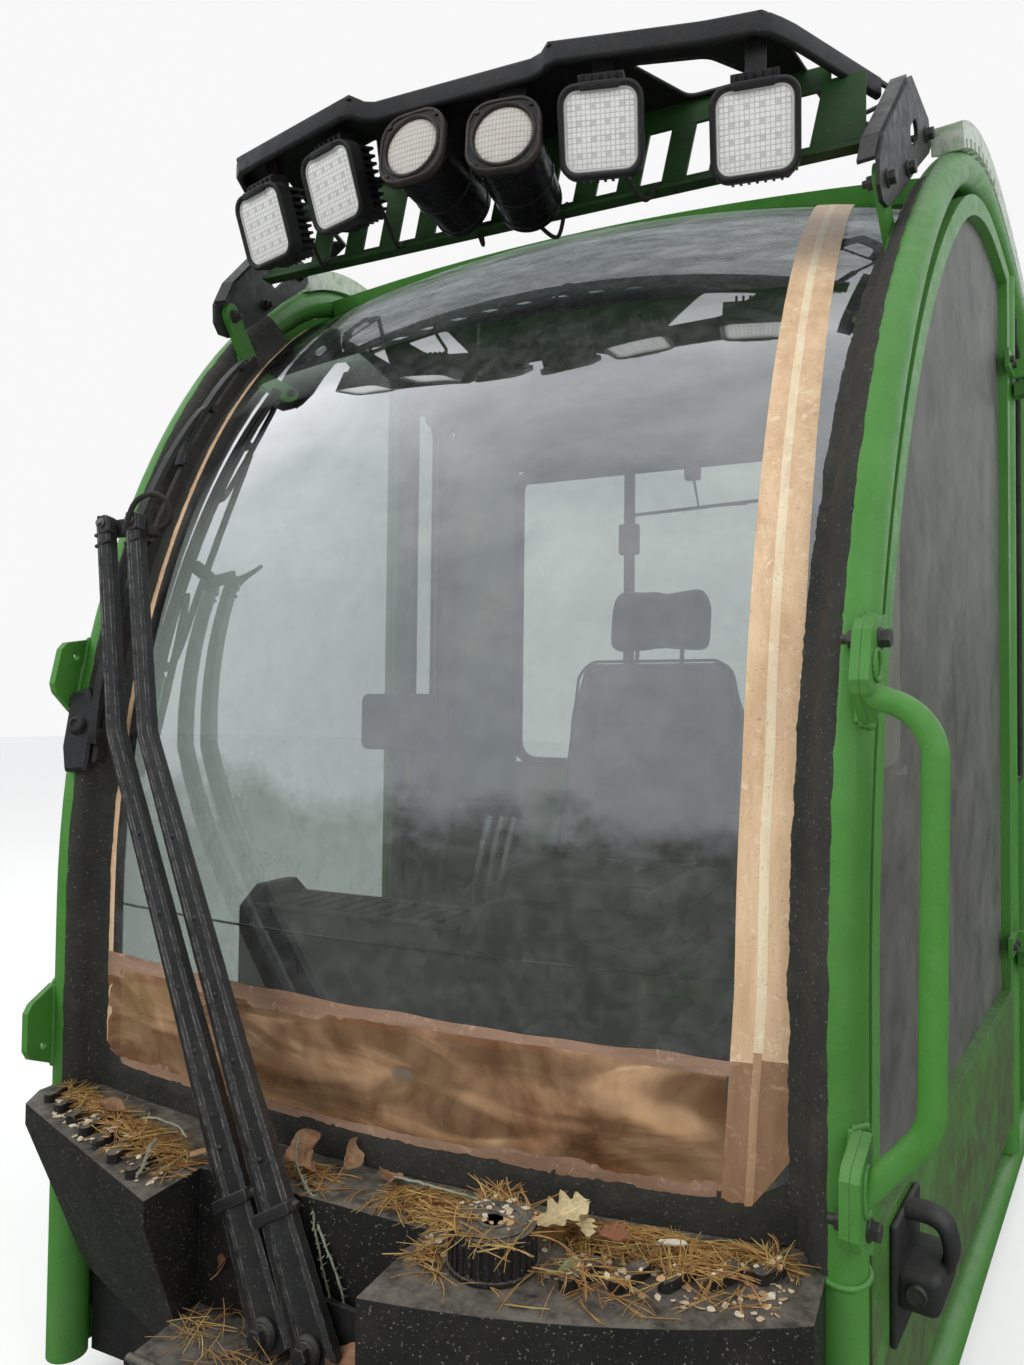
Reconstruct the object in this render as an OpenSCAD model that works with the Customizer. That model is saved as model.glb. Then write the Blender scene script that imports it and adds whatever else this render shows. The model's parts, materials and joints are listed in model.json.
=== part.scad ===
// Cab of a forestry harvester: bent tube frame, one-piece curved windscreen, hinged side door,
// lamp rack over the screen, parallel-arm wiper and a washer tank under the screen.
// X runs across the cab, +Y points to its rear, +Z is up. The origin lies at the centre of the
// four mounting feet, on their undersides.

/* [Side frame] */
// Distance from the middle plane to a front pillar's axis
pillar_half = 566; // [520:1:620]
// Distance from the front pillars' axis back to the front feet
front_inset = 216; // [200:1:240]
// Angle by which each side opens towards the rear, in degrees
flare = 9; // [6:0.5:11]
// Diameter of the frame tube
tube_d = 60; // [50:1:70]
// Length of a side from the front pillar's axis to the rear post's axis
side_len = 1640; // [1580:1:1720]
// Height at which the front pillar starts to curve back
arc_z = 750; // [700:1:800]
// Radius of the front pillar's long curve
arc_r = 1440; // [1380:1:1500]
// Angle swept by the long curve, in degrees
arc_angle = 55; // [50:1:58]
// Radius of the shoulder between pillar and roof
shoulder_r = 750; // [700:1:800]
// Radius of the roof's crown in side view
roof_r = 2500; // [2300:1:2700]
// Radius of the rear top corner
corner_r = 150; // [120:1:180]
// Place of the door post's axis along the side
post_y = 1292; // [1250:1:1330]

/* [Base] */
// Height of the mounting feet
foot_h = 60; // [50:1:80]
// Side of a square foot plate
foot_w = 120; // [100:1:140]
// Thickness of a foot plate
foot_t = 12; // [8:1:16]
// Radius of the bolt hole in a foot
foot_hole_r = 8.5; // [7:0.5:11]
// Distance between the feet across the cab
feet_x = 1000; // [940:1:1040]
// Distance from the front pillars and from the rear posts to the feet, on average
foot_inset = 210; // [190:1:240]
// Height of the base frame's rails
rail_h = 180; // [140:1:200]
// Width of the base frame's rails
rail_w = 80; // [60:1:100]
// Thickness of the floor plate
floor_t = 6; // [4:1:10]
// Gap between pieces that are fixed to each other
seat_gap = 0.3; // [0.2:0.1:0.5]
// Width of the joint between two stretches of a bent tube or skin
joint_w = 0.1; // [0.05:0.05:0.2]
// Thickness of the sheet metal panels
panel_t = 8; // [6:1:12]

/* [Windscreen] */
// Thickness of the screen
screen_t = 12; // [8:1:15]
// Half width of the screen at its lower part
screen_half = 524; // [500:1:530]
// How far the screen bulges forward at its middle
screen_bulge = 48; // [30:1:60]
// How far the screen's side edges lie behind the pillars' axis
screen_set = 16; // [10:1:22]
// Lower edge of the screen
screen_z = 480; // [460:1:520]
// Angle at which the screen ends in the roof, in degrees
screen_top = 68; // [64:1:72]
// Width of the rubber strip between screen and pillar
seal_w = 12; // [8:1:16]

/* [Roof] */
// Thickness of the roof
roof_t = 40; // [30:1:50]
// Radius of the roof's crown across the cab
crown_r = 6300; // [5000:100:8000]
// Height of the roof's middle above the axis of the side tubes
roof_lift = 40; // [34:1:50]
// Height of the rim that stands on the roof tube
rim_h = 42; // [34:1:50]
// Width of the rim
rim_w = 52; // [44:1:56]
// Length of a notch along the rim
notch_l = 20; // [14:1:26]
// Distance from notch to notch
notch_pitch = 46; // [40:1:60]

/* [Door] */
// Clearance between the door and the frame tubes
door_gap = 12; // [10:1:16]
// Lower edge of the door
door_z = 200; // [190:1:240]
// Height of the door's lower rail
door_rail = 280; // [240:1:290]
// Width of the door's frame round the glass
door_rim = 34; // [28:1:40]
// Thickness of the door's frame
door_t = 32; // [26:1:36]
// Thickness of the door and side glass
glass_t = 6; // [4:1:8]
// Depth of the rubber seal on the door's inside
seal_t = 10; // [6:1:12]
// Distance of the hinge axis outside the frame plane
hinge_x = 56; // [52:1:62]
// Diameter of the hinge pins
pin_d = 14; // [12:1:18]
// Diameter of the bar inside the door
bar_d = 28; // [24:1:32]
// Distance of the bar inside the door's glass
bar_in = 62; // [56:1:80]
// Place of the bar along the side
bar_y = 1040; // [900:1:1100]
// Radius of the bar's bends
bar_bend = 45; // [35:1:50]
// Thickness of the pads on the glass
pad_t = 8; // [6:1:10]
// Angle to which the door opens, in degrees
door_open = 85; // [70:1:95]

/* [Wiper] */
// Distance between the two parallel arms
arm_gap = 65; // [60:1:75]
// X of the left arm's pivot
wiper_x = -45; // [-60:1:-30]
// Distance of the arms' pivots in front of the pillars
wiper_out = 169; // [150:1:180]
// Height of the arms' pivots
wiper_z = 330; // [310:1:350]
// Backward lean of the plane in which the arms sweep, in degrees
wiper_tilt = 9; // [8:0.1:10]
// Angle by which the sweep plane turns towards the left side, in degrees
wiper_turn = 3; // [2:0.2:3.4]
// Lean of the arms' straight lower part, in degrees
arm_lean = 30.7; // [29:0.1:32]
// Length of the arms' straight lower part
arm_low = 805; // [790:1:815]
// Lean of the arms' upper part, in degrees
arm_top_lean = 16.4; // [15:0.1:18]
// Length of the arms' upper part
arm_top = 345; // [335:1:355]
// Width of an arm above its tapered foot
arm_w = 22; // [18:1:26]
// How far the wiper blade's lip lies behind the screen's most forward line at rest
blade_sink = 21; // [14:1:22]
// Distance of the blade to the right of the left arm's tip
blade_in = 24; // [20:1:30]
// Height of the blade with its rubber
blade_h = 22; // [18:1:26]
// Width of the blade
blade_w = 10; // [8:1:12]
// Angles at which the blade starts and ends on the screen's curve
blade_a0 = 8.5; // [8:0.5:10]
// Upper end of the blade on the screen's curve
blade_a1 = 41; // [36:0.5:42]

/* [Washer tank] */
// Height of the tank's top
tank_z = 470; // [450:1:478]
// Height of the tank
tank_h = 250; // [200:1:260]
// Distance of the tank's foremost corner in front of the pillars
tank_out = 269; // [250:1:290]
// Depth of the recess for the wiper
recess_d = 140; // [130:1:150]
// Slope of the tank's left front face, in degrees
tank_slope = 20; // [10:1:25]
// Height of the ribs on the tank's top
rib_h = 12; // [8:1:16]
// Diameter of the filler cap
cap_d = 95; // [85:1:105]
// Height of the filler cap
cap_h = 42; // [36:1:50]
// X of the filler cap
cap_x = 235; // [220:1:245]
// Distance of the filler cap in front of the pillars
cap_out = 155; // [140:1:170]

/* [Lamps] */
// Height of the rack's top plate
rack_z = 2046; // [2030:1:2060]
// Thickness of the rack's plates
rack_t = 6; // [4:1:8]
// Thickness of a rack lug
lug_t = 10; // [8:1:12]
// Radius of a lug's rounded end
lug_r = 24; // [20:1:28]
// Distance of a lug's bolt from the pillar's axis
lug_out = 86; // [80:1:95]
// Angle of the lugs on the pillar's long curve, in degrees
lug_a = 136.2; // [134:0.2:140]
// Radius of the holes for the bolts
bolt_r = 6.5; // [5:0.5:8]
// Lower edge of the lattice behind the lamps
lattice_z = 1900; // [1890:1:1930]
// Half width of the lattice
lattice_half = 560; // [520:1:580]
// Distance from cut-out to cut-out in the lattice
lattice_pitch = 78; // [70:1:90]
// Width of a square lamp
led_w = 126; // [116:1:130]
// Depth of a square lamp
led_t = 64; // [56:1:70]
// Angle by which the square lamps look down, in degrees
led_dip = 20; // [10:1:25]
// Distance from fin to fin on a square lamp
fin_pitch = 12; // [10:1:14]
// Thickness of a fin
fin_t = 4; // [3:0.5:5]
// Height of the fins over the lamp's housing
fin_h = 17; // [12:1:20]
// Width of a barrel lamp's face
hid_d = 118; // [110:1:124]
// Length of a barrel lamp
hid_l = 172; // [150:1:180]
// Angle by which the barrel lamps look up, in degrees
hid_rise = 6; // [0:1:12]
// Thickness of the lenses
lens_t = 5; // [3:1:6]

/* [Handles] */
// Diameter of the grab handle's tube
grab_d = 27; // [24:1:30]
// Height of the upper handle bolt
grab_top = 1122; // [1100:1:1150]
// Height of the lower handle bolt
grab_low = 538; // [520:1:550]
// Distance of the handle outside the pillar's axis
grab_out = 100; // [94:1:110]
// Thickness of a handle tab
tab_t = 10; // [8:1:12]
// Distance from the pillar's axis out to a tab's inner face
tab_x = 20; // [16:1:22]
// Distance from the pillar's axis to a tab's front edge
tab_w = 76; // [70:1:84]
// Distance of a tab's bolt in front of the pillar's axis
tab_hole_y = 42; // [38:1:46]
// Reach of a tab beyond its bolt
tab_short = 34; // [30:1:40]
// Reach of a tab from its bolt towards the handle's middle
tab_long = 88; // [80:1:94]
// Radius of the handle's bends
grab_bend = 60; // [50:1:64]
// Slope of the handle's upper leg, in degrees
grab_slope_top = 20; // [15:1:30]
// Slope of the handle's lower leg, in degrees
grab_slope_low = 50; // [45:1:55]

/* [Seat] */
// Height of the seat cushion's top
seat_z = 720; // [700:1:760]
// Width of the seat cushion
seat_w = 500; // [460:1:520]
// Distance from the front pillars to the seat's middle
seat_in = 846; // [820:1:900]
// Height of the backrest
back_h = 600; // [560:1:640]
// Lean of the backrest, in degrees
back_lean = 10; // [6:1:14]
// Thickness of the backrest
back_t = 110; // [90:1:120]
// Thickness of the seat cushion
cushion_t = 110; // [90:1:120]
// Height of the armrests' undersides
arm_z = 790; // [760:1:820]
// Height of the front console
console_h = 500; // [460:1:520]
// Width of the monitor
monitor_w = 190; // [170:1:220]

/* [Hidden] */
$fn = 48;
big_fn = 240;
far = 4000;
tube_r = tube_d / 2;
base_top = foot_h + rail_h;
floor_z = base_top + floor_t;
feet_y = round(side_len * cos(flare) - 2 * foot_inset);
pillar_y = -feet_y / 2 - front_inset;
screen_edge_y = pillar_y + screen_set;
wiper_y = pillar_y - wiper_out;
tank_front = pillar_y - tank_out;
cap_y = pillar_y - cap_out;
seat_y = pillar_y + seat_in;
post_rear_y = pillar_y + side_len * cos(flare);
// Centres of the side frame's curves in the side's own plane, as [along the side, height]
arc_c = [arc_r, arc_z];
arc_end = [arc_r - arc_r * cos(arc_angle), arc_z + arc_r * sin(arc_angle)];
shoulder_c = arc_end + shoulder_r * [cos(arc_angle), -sin(arc_angle)];
roof_c = shoulder_c + [0, shoulder_r - roof_r];
corner_a = asin((side_len - corner_r - roof_c[0]) / (roof_r - corner_r));
corner_c = [side_len - corner_r, roof_c[1] + (roof_r - corner_r) * cos(corner_a)];
sill_z = foot_h + tube_r;
// Plan curve of the screen: radius that gives the bulge over the screen's width
plan_r = (pow(screen_half, 2) + pow(screen_bulge, 2)) / (2 * screen_bulge);
screen_lift = -(screen_edge_y - pillar_y) + screen_bulge;
skin_half = 800;
rear_wall_y = post_rear_y + panel_t / 2;
// Angles at which the roof starts behind the screen and ends behind the rear wall
roof_joint_a = 0.3;
roof_end_a = asin((rear_wall_y + 20 - pillar_y - roof_c[0]) / roof_r);
// Underside of the roof above the rear wall
rear_roof_z = roof_under(rear_wall_y);
hinge_y = post_y - tube_r + 9;
recess_y = tank_front + recess_d;
tank_back = pillar_y + tube_r - panel_t - seat_gap;
// Plan curve of the tank's right front face: centre x, y and radius
tank_arc = [-40, tank_front + 1130.7, 1145];
// Ribs on the tank's top: x, y, length, turn in degrees
tank_ribs = [
    [-540, -868, 34, 18], [-497, -884, 40, 18], [-452, -900, 46, 18], [-405, -918, 50, 18],
    [-358, -936, 54, 18], [-310, -954, 58, 18], [-258, -972, 62, 18],
    [330, -960, 44, -20], [376, -942, 40, -22], [420, -922, 36, -24], [464, -898, 32, -28],
    [504, -872, 26, -32]
];
// Corners of an arm in its sweep plane: pivot, bend and tip
arm_pts = [
    [0, 0],
    [-arm_low * sin(arm_lean), arm_low * cos(arm_lean)],
    [-arm_low * sin(arm_lean) - arm_top * sin(arm_top_lean),
     arm_low * cos(arm_lean) + arm_top * cos(arm_top_lean)]
];
// Sideways shift of the arms' tips that comes from the sweep plane's turn and tilt
tip_shift = arm_pts[2][1] * sin(wiper_tilt) * sin(wiper_turn);
// Plane of the wiper blade, across the cab
blade_x = wiper_x + arm_pts[2][0] * cos(wiper_turn) + tip_shift + blade_in;
// Rack's front edge from left to right, as [x, y]
rack_edge = [[-622, -300], [-598, -355], [-506, -565], [-214, -632], [-196, -600], [106, -590],
    [131, -614], [353, -562], [436, -550], [468, -512], [570, -338], [622, -250]];
rack_rear_y = -385;
// Middle part of the edge that is folded down
lip_h = 22;
// Square lamps, at the middle of the lens: x, y, height, turn to the left in degrees
leds = [[-447, -545, 1921, 14], [-278, -575, 1939, 15], [203, -575, 1918, -14], [421, -530, 1888, -8]];
// Barrel lamps, at the middle of the face: x, y, height, turn to the left in degrees
hids = [[-99, -620, 1944, 2], [62, -620, 1923, -9]];
lug_at = arc_c + (arc_r + lug_out) * [cos(lug_a), sin(lug_a)];
// Where a square lamp's clamp sits over it, in the lamp's own frame, and its height there
clamp_y = 30;
clamp_h = 16;
// Back edge of a handle tab, at the pillar's surface, and the middle of its width
tab_root = -sqrt(pow(tube_r, 2) - pow(tab_x, 2)) - seat_gap;
tab_mid = (tab_root - tab_w) / 2;
// Outer face of the handle's own plates, which are bolted to the tabs
grab_plate_x = tab_x + 2 * tab_t + seat_gap;
// Roots of the handle's legs on its plates, as [along the side, height], and the lean between them
grab_foot = [tab_mid, grab_low + 28];
grab_head = [pillar_at(grab_top), grab_top]
    + [tab_mid * cos(pillar_lean(grab_top)) - 62 * sin(pillar_lean(grab_top)),
       -tab_mid * sin(pillar_lean(grab_top)) - 62 * cos(pillar_lean(grab_top))];
grab_lean = atan2(grab_head[0] - grab_foot[0], grab_head[1] - grab_foot[1]);
grab_len = norm(grab_head - grab_foot);
// Heights of the bar's two legs inside the door
bar_z = [1060, 1780];
// Latch handle: place along the side, height, and outer size
latch_y = 110;
// Height at which the door post meets the roof tube
post_top = roof_c[1] + sqrt(pow(roof_r - tube_r, 2) - pow(post_y + tube_r - roof_c[0], 2));
// Underside of the plate under the seat cushion
pan_z = seat_z - cushion_t - 40;
// Left and right side of the front console
console_x = [-340, 60];
// Place of the monitor's lower edge
monitor_at = [-440, -90, 965];
latch_z = 330;
latch_size = [62, 150, 140];
// The same place as [distance back, height] with the lamp dipped
clamp_up = [clamp_y * cos(led_dip) - (led_w / 2 + clamp_h / 2) * sin(led_dip),
    clamp_y * sin(led_dip) + (led_w / 2 + clamp_h / 2) * cos(led_dip)];

// Half width of the cab at Y = y, in from the pillars' plane by inset
function half_w(y, inset) = pillar_half + (y - pillar_y) * tan(flare) - inset / cos(flare);

// Height of the roof's underside at the middle, behind its crown line
function roof_under(y) = roof_c[1]
    + sqrt(pow(roof_r + roof_lift - roof_t, 2) - pow(y - pillar_y - roof_c[0], 2)) - 2;

// How far the pillar has curved back at height z
function pillar_at(z) = z < arc_z ? 0 : arc_r - sqrt(pow(arc_r, 2) - pow(z - arc_z, 2));

// How far the pillar leans back at height z, in degrees
function pillar_lean(z) = z < arc_z ? 0 : asin((z - arc_z) / arc_r);

// Angle that a joint takes up on a curve of radius r
function joint_a(r) = joint_w / r * 180 / PI;

// Square with rounded corners about the origin
module round_square(w, r) {
    square([w, w - 2 * r], center = true);
    square([w - 2 * r, w], center = true);
    for (x = [-1, 1], y = [-1, 1]) translate([x, y] * (w / 2 - r)) circle(r = r);
}

// Upright bar of round tube with a quarter bend and a leg at each end; legs run from x0 to the bar at x1
module bent_bar(x0, x1, z0, z1, d, bend) {
    translate([x1, 0, z0 + bend]) cylinder(d = d, h = z1 - z0 - 2 * bend);
    for (end = [0, 1]) translate([0, 0, end ? z1 : z0]) mirror([0, 0, end]) {
        translate([x0, 0, 0]) rotate([0, 90, 0]) cylinder(d = d, h = abs(x1 - x0) - bend);
        translate([x1 - bend, 0, bend]) rotate([90, 0, 0]) rotate([0, 0, -90])
            rotate_extrude(angle = 90) translate([bend, 0]) circle(d = d);
    }
}

// Plan of the cab between two Y values
module plan_area(inset, y0, y1) {
    polygon([[-half_w(y0, inset), y0], [half_w(y0, inset), y0],
        [half_w(y1, inset), y1], [-half_w(y1, inset), y1]]);
}

// Puts children drawn in a side's own frame (x outward, y along the side, z up) on one side
module on_side(side) {
    mirror([side < 0 ? 1 : 0, 0, 0]) translate([pillar_half, pillar_y, 0])
        rotate([0, 0, -flare]) children();
}

// Both sides
module both_sides() {
    for (side = [-1, 1]) on_side(side) children();
}

// Turns a shape drawn in a plane's first two axes into the YZ plane, extruded along X
module stand_up() {
    rotate([90, 0, 90]) children();
}

// Plate in the side's plane between x0 and x1
module side_plate(x0, x1) {
    translate([x0, 0, 0]) stand_up() linear_extrude(height = x1 - x0) children();
}

// Sector between two angles, drawn from a centre
module wedge(c, a0, a1) {
    mid = (a0 + a1) / 2;
    translate(c) polygon([[0, 0], far * [cos(a0), sin(a0)], 1.3 * far * [cos(mid), sin(mid)],
        far * [cos(a1), sin(a1)]]);
}

// Bent stretch of tube in the side's plane about centre c, from angle a0 to a1
module tube_arc(c, r, a0, a1) {
    stand_up() translate(c) rotate([0, 0, a0]) rotate_extrude(angle = a1 - a0, $fn = big_fn)
        translate([r, 0]) circle(d = tube_d, $fn = $fn);
}

// Area inside a side's tube loop, in from the tube's axis by inset
module loop_area(inset) {
    intersection() {
        translate([inset, 0]) square([side_len - 2 * inset, far]);
        union() {
            difference() {
                intersection() {
                    union() {
                        translate(arc_c) circle(r = arc_r - inset, $fn = big_fn);
                        translate([inset, 0]) square([2 * (arc_r - inset), arc_z]);
                    }
                    translate(roof_c) circle(r = roof_r - inset, $fn = big_fn);
                }
                wedge(shoulder_c, 90, 180 - arc_angle);
                wedge(corner_c, 0, 90 - corner_a);
            }
            translate(shoulder_c) circle(r = shoulder_r - inset, $fn = big_fn);
            if (corner_r > inset) translate(corner_c) circle(r = corner_r - inset, $fn = big_fn);
        }
    }
}

// Area of the door or side window, in from its outer edge by inset
module door_area(inset, low) {
    intersection() {
        loop_area(tube_r + door_gap + inset);
        translate([0, low]) square([post_y - tube_r - door_gap - inset, far]);
    }
}

// Outline of a curved skin across the cab, for turning about a side curve of radius r:
// its outer face has radius cross_r and stands lift outside that curve at the middle
module skin_profile(r, lift, cross_r, t, half) {
    intersection() {
        translate([r + lift - cross_r, 0]) rotate(180) difference() {
            circle(r = cross_r, $fn = 2 * big_fn);
            circle(r = cross_r - t, $fn = 2 * big_fn);
        }
        translate([r + lift - 250, -half]) square([260, 2 * half]);
    }
}

// Skin turned about the axis through c (side coordinates), from angle a0 to a1
module skin_turn(c, r, a0, a1) {
    translate([0, pillar_y + c[0], c[1]]) stand_up() rotate([0, 0, a0])
        rotate_extrude(angle = a1 - a0, $fn = big_fn) children();
}

// Upright stretch of the screen's skin between two heights
module skin_rise(z0, z1, t) {
    translate([0, pillar_y + arc_c[0], z0]) rotate([0, 0, -90]) linear_extrude(height = z1 - z0)
        skin_profile(arc_r, screen_lift, plan_r, t, skin_half);
}

// BASE

module base_frame() {
    color("#1f3d22") {
        for (x = [-1, 1], y = [-1, 1]) translate([x * feet_x / 2, y * feet_y / 2, 0]) {
            difference() {
                translate([-foot_w / 2, -foot_w / 2, 0]) cube([foot_w, foot_w, foot_t]);
                translate([0, 0, -1]) cylinder(r = foot_hole_r, h = foot_t + 2);
            }
            difference() {
                translate([0, 0, foot_t]) cylinder(d = foot_w - 30, h = foot_h - foot_t);
                translate([0, 0, foot_t - 1]) cylinder(d = foot_w - 50, h = foot_h);
            }
        }
        translate([0, 0, foot_h]) linear_extrude(height = rail_h) difference() {
            plan_area(tube_r + seat_gap, pillar_y + tube_r + 2 * panel_t, rear_wall_y - panel_t);
            plan_area(tube_r + rail_w, pillar_y + tube_r + rail_w, rear_wall_y - rail_w);
        }
        for (y = [-feet_y / 2, feet_y / 2])
            translate([0, 0, foot_h]) linear_extrude(height = rail_h)
                plan_area(tube_r + rail_w / 2, y - rail_w / 2, y + rail_w / 2);
    }
}

module floor_pan() {
    color("#2b2c2a") translate([0, 0, base_top]) linear_extrude(height = floor_t)
        plan_area(tube_r + seat_gap, pillar_y + tube_r + 2 * panel_t, rear_wall_y - panel_t);
}

// FRAME

module front_pillars() {
    color("#2f8a2c") both_sides() {
        translate([0, 0, foot_h]) cylinder(d = tube_d, h = arc_z - foot_h);
        tube_arc(arc_c, arc_r, 180 - arc_angle, 180);
    }
}

module roof_tubes() {
    color("#2f8a2c") both_sides() {
        tube_arc(shoulder_c, shoulder_r, 90 + joint_a(shoulder_r), 180 - arc_angle - joint_a(shoulder_r));
        tube_arc(roof_c, roof_r, 90 - corner_a, 90);
        tube_arc(corner_c, corner_r, joint_a(corner_r), 90 - corner_a - joint_a(corner_r));
    }
}

module frame_posts() {
    color("#2f8a2c") both_sides() {
        translate([0, side_len, foot_h]) cylinder(d = tube_d, h = corner_c[1] - foot_h);
        translate([0, tube_r + seat_gap, sill_z]) rotate([-90, 0, 0])
            cylinder(d = tube_d, h = side_len - tube_d - 2 * seat_gap);
        translate([0, post_y, sill_z + tube_r + seat_gap])
            cylinder(d = tube_d, h = post_top - sill_z - tube_r - 2 * seat_gap);
    }
}

module front_apron() {
    color("#2b2c2a") translate([0, 0, foot_h]) linear_extrude(height = screen_z - foot_h - joint_w)
        plan_area(tube_r + seat_gap, pillar_y + tube_r - panel_t, pillar_y + tube_r);
}

module sill_panels() {
    color("#2f6f2c") both_sides() side_plate(-panel_t, 0)
        translate([tube_r + seat_gap, sill_z + tube_r + seat_gap])
            square([post_y - 2 * tube_r - 2 * seat_gap, door_z - sill_z - tube_r - door_gap]);
}

module quarter_panels() {
    color("#2f6f2c") both_sides() side_plate(-panel_t, 0) difference() {
        intersection() {
            loop_area(tube_r + seat_gap);
            translate([post_y + tube_r + seat_gap, sill_z + tube_r + seat_gap]) square([far, far]);
        }
        intersection() {
            loop_area(tube_r + 40);
            translate([post_y + tube_r + 40, 900]) square([far, far]);
        }
    }
}

module rear_wall() {
    half = half_w(rear_wall_y - panel_t, tube_r + 1);
    color("#2f6f2c") translate([0, rear_wall_y, 0]) rotate([90, 0, 0])
        linear_extrude(height = panel_t) difference() {
        intersection() {
            translate([-half, foot_h]) square([2 * half, far]);
            translate([0, rear_roof_z - crown_r]) circle(r = crown_r, $fn = 2 * big_fn);
        }
        rear_window_area(0);
    }
}

module rear_window_area(inset) {
    translate([-560 + inset, 900 + inset]) square([1120 - 2 * inset, 900 - 2 * inset]);
}

module rear_window() {
    color([0.5, 0.56, 0.56, 0.4]) translate([0, rear_wall_y, 0]) rotate([90, 0, 0])
        linear_extrude(height = glass_t) rear_window_area(seat_gap);
}

module side_glass() {
    color([0.5, 0.56, 0.56, 0.4]) {
        both_sides() side_plate(-glass_t, 0) intersection() {
            loop_area(tube_r + 40 + seat_gap);
            translate([post_y + tube_r + 40 + seat_gap, 900 + seat_gap]) square([far, far]);
        }
        on_side(-1) side_plate(-glass_t / 2, glass_t / 2)
            door_area(door_rim + seat_gap, door_z + door_rail + seat_gap);
    }
}

module left_window_frame() {
    color("#2f8a2c") on_side(-1) side_plate(-door_t / 2, door_t / 2) difference() {
        intersection() {
            loop_area(tube_r + seat_gap);
            translate([0, door_z - door_gap + 2]) square([post_y - tube_r - seat_gap, far]);
        }
        door_area(door_rim, door_z + door_rail);
    }
}

// WINDSCREEN AND ROOF

module windscreen() {
    color([0.35, 0.4, 0.42, 0.45]) screen_stretches(screen_t) screen_prism(tube_r + seal_w);
}

// The screen's three stretches, t thick, each cut to the children's outline
module screen_stretches(t) {
    intersection() {
        skin_rise(screen_z, arc_z - joint_w, t);
        children();
    }
    intersection() {
        skin_turn(arc_c, arc_r, 180 - arc_angle, 180)
            skin_profile(arc_r, screen_lift, plan_r, t, skin_half);
        children();
    }
    intersection() {
        skin_turn(shoulder_c, shoulder_r, 180 - screen_top, 180 - arc_angle - joint_a(shoulder_r))
            skin_profile(shoulder_r, screen_lift, plan_r, t, skin_half);
        children();
    }
}

// Upright prism that bounds the screen and the roof between the two sides
module screen_prism(inset) {
    linear_extrude(height = far) plan_area(inset, pillar_y - 200, post_rear_y + 200);
}

module screen_seal() {
    color("#151514") screen_stretches(screen_t + 6) difference() {
        screen_prism(tube_r + seat_gap);
        screen_prism(tube_r + seal_w - seat_gap);
    }
}

module roof_shell() {
    color("#2f8a2c") {
        intersection() {
            skin_turn(shoulder_c, shoulder_r, 90 + joint_a(shoulder_r), 180 - screen_top - roof_joint_a)
                skin_profile(shoulder_r, roof_lift, crown_r, roof_t, 1.2 * skin_half);
            screen_prism(tube_r + seat_gap);
        }
        intersection() {
            skin_turn(roof_c, roof_r, 90 - roof_end_a, 90)
                skin_profile(roof_r, roof_lift, crown_r, roof_t, 1.2 * skin_half);
            screen_prism(tube_r + seat_gap);
        }
    }
}

module rim_turn(c, r, a0, a1) {
    stand_up() translate(c) rotate([0, 0, a0]) rotate_extrude(angle = a1 - a0, $fn = big_fn)
        translate([r + tube_r + seat_gap, -rim_w / 2]) square([rim_h, rim_w]);
}

module roof_rims() {
    color("#6f8f62") both_sides() difference() {
        union() {
            rim_turn(shoulder_c, shoulder_r, 90 + joint_a(shoulder_r), 180 - arc_angle - 6);
            rim_turn(roof_c, roof_r, 90 - corner_a, 90);
        }
        for (i = [0 : floor(shoulder_r * 28 * PI / 180 / notch_pitch)])
            translate([0, shoulder_c[0], shoulder_c[1]])
                rotate([82 - arc_angle - i * notch_pitch / shoulder_r * 180 / PI, 0, 0])
                    translate([rim_w / 2 - 12, -notch_l / 2, shoulder_r + tube_r]) cube([20, notch_l, 14]);
    }
}

// LAMP RACK

module rack_lugs() {
    color("#2f8a2c") both_sides() side_plate(-tube_r - seat_gap - lug_t, -tube_r - seat_gap) difference() {
        union() {
            translate(lug_at) circle(r = lug_r);
            translate(arc_c) rotate(lug_a) translate([arc_r - 8, -lug_r]) square([lug_out + 8, 2 * lug_r]);
        }
        translate(lug_at) circle(r = bolt_r);
    }
}

module rack_ends() {
    color("#1a1a1a") both_sides() {
        side_plate(-tube_r, -tube_r + rack_t) difference() {
            polygon([[312, 1762], [345, 1768], [440, 1836], [540, 1919], [636, 1990], [652, 2012],
                [632, rack_z - seat_gap], [500, rack_z - seat_gap], [318, 1858], [292, 1812], [294, 1778]]);
            translate(lug_at) circle(r = bolt_r);
            translate([470, 1884]) circle(r = bolt_r);
            translate([610, 2008]) circle(r = bolt_r);
            for (p = [[505, 1952], [530, 1975]]) translate(p) circle(r = 16);
            translate([517.5, 1963.5]) rotate(42.6) square([34, 32], center = true);
        }
        translate([-tube_r - 24, 318, 1858]) rotate([45.9, 0, 0]) cube([24, 254, rack_t]);
        translate([-tube_r - 24, 292, 1812]) rotate([60.5, 0, 0]) cube([24, 53, rack_t]);
    }
}

// Plan of the rack's top plate
module rack_plan() {
    polygon(concat(rack_edge, [[622, -215], [560, -180], [505, -215], [470, rack_rear_y + 6],
        [-470, rack_rear_y + 6], [-505, -215], [-560, -180], [-622, -215]]));
}

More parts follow.
